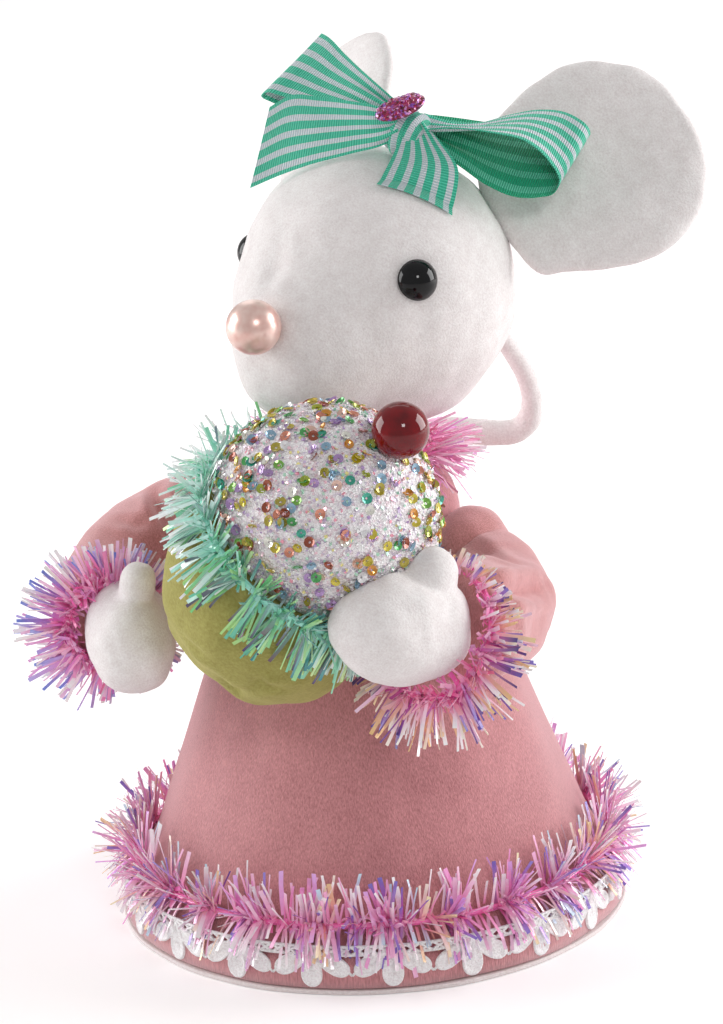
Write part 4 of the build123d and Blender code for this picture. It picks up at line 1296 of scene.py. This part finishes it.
def wave(tree, value, turns, shift):
    """Sine of a value times a number of turns, plus a shift."""
    moved = add_node(tree, "ShaderNodeMath", {
        0: value, 1: turns * 2 * math.pi, 2: shift,
    }, operation="MULTIPLY_ADD")
    return add_node(tree, "ShaderNodeMath", {0: moved.outputs[0]}, operation="SINE").outputs[0]


stripes = wave(ribbon_tree, ribbon_axes.outputs["Y"], stripe_count, -math.pi / 2)
ribs = wave(ribbon_tree, ribbon_axes.outputs["X"], 1 / (rib_width * mm), 0)
stripe_edge = add_node(ribbon_tree, "ShaderNodeMapRange", {
    "Value": stripes, "From Min": 0.12, "From Max": 0.3,
})
rib_level = add_node(ribbon_tree, "ShaderNodeMapRange", {"Value": ribs, "From Min": -1.0, "From Max": 1.0})
# Each tone runs from a darker groove to a lighter crest of the rib: painted shade in the grooves between the
# ribs.
ribbon_plain_and_shaded = []
for ground, stripe in (
    (("#1fb490", "#52dcb8"), ("#b4cfd4", "#e9eef2")), (("#00996f", "#05bd8a"), ("#0ca87e", "#70e2c0")),
):
    ground_tone, stripe_tone = (
        add_node(ribbon_tree, "ShaderNodeValToRGB", {"Fac": rib_level.outputs[0]}, stops=(
            (0.0, groove), (0.7, crest),
        )).outputs["Color"]
        for groove, crest in (ground, stripe)
    )
    ribbon_plain_and_shaded.append(add_node(ribbon_tree, "ShaderNodeMix", {
        0: stripe_edge.outputs[0], 6: ground_tone, 7: stripe_tone,
    }, data_type="RGBA").outputs[2])
# The second, deeper pair of tones is painted shade, used where the attribute marks the loop's inside.
loop_shade = add_node(ribbon_tree, "ShaderNodeAttribute", attribute_name="loop_shade")
ribbon_tone = add_node(ribbon_tree, "ShaderNodeMix", {
    0: loop_shade.outputs["Fac"], 6: ribbon_plain_and_shaded[0], 7: ribbon_plain_and_shaded[1],
}, data_type="RGBA")
finish_surface(ribbon_tree, ribbon_shader, ribbon_tone.outputs[2], ribs, bump_mm=0.25)

# %% Loops and tails of the bow
make_ribbon("bow_loop_far", "bow_loop_right", (
    (400, 106, 0), (372, 80, -5), (345, 54, -14), (327, 36, -20), (321, 33, -23), (327, 41, -27),
    (350, 66, -20), (380, 92, -10), (398, 110, -4),
), (
    (392, 126, 4), (350, 112, -1), (310, 103, -12), (282, 96, -19), (266, 93, -22), (262, 97, -25),
    (271, 102, -28), (300, 110, -22), (345, 119, -12), (392, 128, -2),
), pleat_mm=1.6, pleats_at_end=True)
make_ribbon("bow_loop_near", "bow_loop_left", (
    (424, 112, 0), (452, 122, -6), (480, 121, -10), (510, 114, -12), (540, 110, -10), (568, 114, -6),
    (587, 127, -2), (589, 133, -5), (576, 130, -12), (545, 127, -16), (510, 126, -17), (465, 122, -13),
    (426, 118, -7),
), (
    (420, 132, 8), (452, 131, 12), (492, 134, 14), (527, 142, 15), (550, 162, 13), (560, 184, 11),
    (554, 194, 9), (538, 198, 11), (515, 197, 12), (488, 185, 12), (458, 162, 10), (424, 138, 6),
), pleat_mm=1.6, pleats_at_end=True, shade_from=0.5)
make_ribbon("bow_end_long", "bow_tail_long", (
    (396, 112, 8), (378, 106, 6), (350, 101, 3), (320, 97, -1), (292, 95, -5), (270, 107, -9),
), (
    (400, 134, 7), (387, 143, 5), (350, 154, 0), (309, 165, -6), (278, 176, -11), (250, 188, -15),
), pleat_mm=1.5, pleats_at_end=False)
make_ribbon("bow_end_short", "bow_tail_short", (
    (406, 122, 8), (399, 141, 10), (389, 163, 13), (377, 186, 16),
), (
    (426, 124, 8), (441, 142, 10), (458, 170, 13), (456, 195, 15), (450, 217, 15),
), pleat_mm=1.4, pleats_at_end=False)

# %% [markdown]
# The knot is the same ribbon pulled tight round the middle, so it is a short fat ball with pleats that
# run round it. Its poles point along the bow, and its own UV map carries the stripes.
# The stone on it is druzy resin: a flat oval whose top is covered with small glittering facets. Cell
# noise lifts its points by chance, and flat shading lets each facet catch the light by itself.

# %% Knot and stone
knot_along = unit(head_left - knot_way * (head_left @ knot_way))
knot_across = np.cross(knot_way, knot_along)
knot_half_length = 10.0
knot_girths = (10.2, 11.0)
knot_pattern_length = 66
gem_way = unit(head_way(0.45, 0.1, 0.89))
gem_long = head_way(-0.665, 0.627, 0.40)
gem_long = unit(gem_long - gem_way * (gem_long @ gem_way))
gem_wide = np.cross(gem_way, gem_long)
gem_height = 14.9
gem_middle = knot_middle + gem_way * gem_height * mm
gem_half_height = 2.6
gem_girths = (11.5, 6.8)
facet_size = 1.5
facet_lift = 0.55


def knot_shape(share, angle):
    """Ball of the knot, waisted and pleated."""
    full = np.sin(share * math.pi) ** 0.55
    full = full * (1 + 0.05 * np.cos(share * math.pi * 9) + 0.03 * np.sin(angle * 3 + share * 5))
    return round_about(
        knot_middle, knot_along, knot_across, knot_way, -np.cos(share * math.pi) * knot_half_length,
        (full * knot_girths[0], full * knot_girths[1]), angle,
    )


def gem_shape(share, angle):
    """Flat oval stone with a domed top."""
    full = np.sin(share * math.pi) ** 0.6
    return round_about(
        gem_middle, gem_way, gem_long, gem_wide, np.cos(share * math.pi) * gem_half_height,
        (full * gem_girths[0], full * gem_girths[1]), angle,
    )


knot = rolled("ribbon_knot", segments=72, rings=60, shape=knot_shape)
stretch_pattern(knot, knot_pattern_length * mm)
keep(knot, "head", "striped_ribbon", ribbed_ribbon, "bow_knot")
gem = rolled("druzy_gem", segments=72, rings=48, shape=gem_shape)
rows = read_points(gem)
grit = np.array([noise.cell(Vector(row) / (facet_size * mm)) for row in rows])
front = np.clip((rows - gem_middle) @ gem_way / mm, 0, 1)
move_points(gem, rows + read_points(gem, "normal") * (grit * front * facet_lift * mm)[:, None])
pick(gem)
bpy.ops.object.shade_flat()
gem_paint, gem_tree, gem_shader = new_material(
    "magenta_druzy_resin", Roughness=0.15, Metallic=0.45, Coat_Weight=1.0,
)
gem_coordinates = add_node(gem_tree, "ShaderNodeTexCoord")
gem_cells = add_node(gem_tree, "ShaderNodeTexVoronoi", {
    "Vector": gem_coordinates.outputs["Object"], "Scale": 1 / mm,
})
gem_split = add_node(gem_tree, "ShaderNodeSeparateColor", {"Color": gem_cells.outputs["Color"]})
gem_tone = add_node(gem_tree, "ShaderNodeValToRGB", {"Fac": gem_split.outputs["Red"]}, stops=(
    (0.0, "#5a0a2a"), (0.3, "#8f1440"), (0.6, "#b8205c"), (0.82, "#8a4fc4"), (0.96, "#f3a6dc"),
))
finish_surface(gem_tree, gem_shader, gem_tone.outputs["Color"])
keep(gem, "head", "gem", gem_paint, "bow_gem")

# %% [markdown]
# ## Lace
# Guipure lace is thick thread embroidered on a film that is washed away. Its edge is a row of half
# flowers: one petal hangs straight down and two lean to its sides. Each petal has a raised cord for its
# rim, and a ladder of crossed cords joins them above. One half flower is modelled flat, then copied
# twenty times and wrapped round the hem.

# %% Lace border
lace_radius = 114.0
lace_count = 20
ladder_foot = 18.6
ladder_top = 22.4
ladder_cells = 6
cord_width = 1.0
cord_thickness = 1.1
# Each petal has a lean in degrees, a width, a length and the height that it hangs from.
lace_petals = ((0.0, 9.2, 18.6, 21.8), (60.0, 8.2, 19.4, 19.6), (-60.0, 8.2, 19.4, 19.6))
petals = []
for lean, width, length, top in lace_petals:
    tilt = math.radians(lean)

    def petal_shape(share, angle):
        """A drop with a raised, knotted rim, which hangs from top."""
        full = np.sin(share * math.pi)
        rim = 0.45 + 0.5 * np.exp(-((full - 0.86) / 0.12) ** 2) + 0.12 * np.cos(angle * 14)
        rim = np.where(full > 0.97, rim * 0.6, rim)
        z = full * np.sin(angle) * length / 2 - length / 2
        x = full * np.cos(angle) * width / 2 * (1 + 0.38 * np.sin(-angle))
        y = np.sign(share - 0.5) * rim * np.clip((1 - full) * 30, 0, 1)
        turned_x = x * math.cos(tilt) - z * math.sin(tilt)
        turned_z = x * math.sin(tilt) + z * math.cos(tilt) + top
        return np.stack((turned_x, y, turned_z), axis=1) * mm

    petals.append(rolled("petal", segments=40, rings=24, shape=petal_shape))
pitch = 2 * math.pi * lace_radius / lace_count
half = pitch / 2
cord_runs = [((-half, ladder_top), (half, ladder_top)), ((-half, ladder_foot), (half, ladder_foot))]
for cell in range(ladder_cells):
    start = pitch * cell / ladder_cells - half
    end = start + pitch / ladder_cells
    cord_runs += [((start, ladder_foot), (end, ladder_top)), ((end, ladder_foot), (start, ladder_top))]
cord_runs += [((-half, 9.0), (3.5 - half, 12.5)), ((half, 9.0), (half - 3.5, 12.5))]
cord_runs = np.array(cord_runs) * mm
cord_count = len(cord_runs)
cord_roots, cord_ends = (np.insert(cord_runs[:, side], 1, 0, axis=1) for side in (0, 1))
cord_ways = cord_ends - cord_roots
white_tints = np.ones((cord_count, 4))
cords = lay_strips(
    "lace_cords", cord_roots, unit(cord_ways), np.tile((0.0, 1.0, 0.0), (cord_count, 1)),
    np.linalg.norm(cord_ways, axis=1), np.full(cord_count, cord_width * mm), cord_thickness * mm,
    np.zeros((cord_count, 3)), white_tints, white_tints,
)
pick(cords, *petals)
bpy.ops.object.join()
flower, flower_faces = take_pattern(cords)
turns = np.arange(lace_count) * 2 * math.pi / lace_count
bearings = flower[None, :, 0] / (lace_radius * mm) + turns[:, None]
radii = lace_radius * mm - flower[None, :, 1]
lace_points = np.stack((
    radii * np.cos(bearings), radii * np.sin(bearings), np.tile(flower[:, 2], (lace_count, 1)),
), axis=2)
lace = copies_mesh("guipure_lace", lace_points, flower_faces, np.ones(lace_points.shape[:2] + (4,)))
face_outwards(lace)
keep(lace, "figure", "white_lace", two_tone(
    "embroidered_white_thread", 0.9, "#ece6e7", "#ffffff", high=0.6, bump_mm=0.5, Roughness=0.7,
    Sheen_Weight=0.3,
), "hem_lace")

# %% [markdown]
# ## Nose bead, eyes and cherry
# Three round pieces stay as the CAD made them, since a ball is a ball, and their finish does the work. A
# pearl bead is a glass core under many thin coats: pink, with a soft bright surface. A safety eye is
# polished black plastic. The cherry is a glossy deep red ball with a clear coat. The far eye sits a
# little deeper and further back than in the CAD, because the photograph doesn't show it beyond the head's
# outline, so a new ball stands for it.

# %% Pearl, eyes and cherry
def paint_node(node, material):
    """Give a CAD node its material."""
    nodes[node].data.materials.clear()
    nodes[node].data.materials.append(material)


black_eye = two_tone(
    "polished_black_plastic", 4.0, "#050506", "#0d0d10", low=0.3, high=0.7, Roughness=0.06,
    Specular_IOR_Level=0.35,
)
paint_node("left_eye", black_eye)
paint_node("nose_bead", two_tone(
    "pink_pearl_coating", 7.0, "#ecbdb2", "#fbdcd2", Roughness=0.3, Metallic=0.6, Coat_Weight=0.3,
    Coat_Roughness=0.08,
))
paint_node("cherry", two_tone(
    "clear_coated_cherry_red", 9.0, "#5c0009", "#80000d", low=0.3, high=0.7, Roughness=0.05,
    Coat_Weight=0.2, Coat_Roughness=0.03, Specular_IOR_Level=0.4,
))
eye_radius = 9.0
far_eye_spot = (28.5, -43.5, 17.2)
bpy.ops.object.select_all(action="DESELECT")
bpy.ops.mesh.primitive_uv_sphere_add(
    segments=40, ring_count=28, radius=eye_radius * mm, location=head_place(*far_eye_spot),
)
far_eye = bpy.context.object
far_eye.name = "safety_eye_right"
bpy.ops.object.transform_apply(location=True, rotation=True, scale=True)
bpy.ops.object.shade_smooth()
keep(far_eye, "head", "black_eye", black_eye, "right_eye")

# %% [markdown]
# ## Finish of the hidden parts
# Some CAD parts stay inside: boards, wires, washers, stuffing. Nobody sees them in the photograph, but
# each gets a finish with its own grain all the same, because the model can be taken apart.

# %% Materials of the inner parts
# Each part has its material's name, the grain's size, two tones, the roughness and anything else it needs.
inner_finishes = {
    "base_board": ("grey_board", 2.0, "#9c8462", "#b59d78", 0.9, {}),
    "ballast_bag": ("cotton_ballast_cloth", 1.2, "#cfc6b2", "#e0d9c8", 0.95, {}),
    "torso_stuffing": ("polyester_fibre_body", 5.0, "#e6e4df", "#f8f7f4", 1.0, {"bump_mm": 1.0}),
    "neck_dowel": ("birch_dowel", 1.0, "#b8986a", "#d3b88c", 0.6, {"stretch": (1, 1, 0.05)}),
    "cup_core": ("cut_polystyrene_foam", 2.5, "#e6e6e2", "#f6f6f3", 0.8, {"bump_mm": 0.4}),
    "eye_washers": ("moulded_washer_plastic", 6.0, "#cfcfcf", "#dddddd", 0.5, {}),
    "left_arm_wire": ("annealed_wire_left", 1.5, "#8f8f94", "#a8a8ad", 0.45, {"Metallic": 1.0}),
    "right_arm_wire": ("annealed_wire_right", 1.5, "#8f8f94", "#a8a8ad", 0.45, {"Metallic": 1.0}),
}
for node, (name, grain_mm, dark, light, roughness, extra) in inner_finishes.items():
    paint_node(node, two_tone(name, grain_mm, dark, light, Roughness=roughness, **{"bump_mm": 0.1, **extra}))
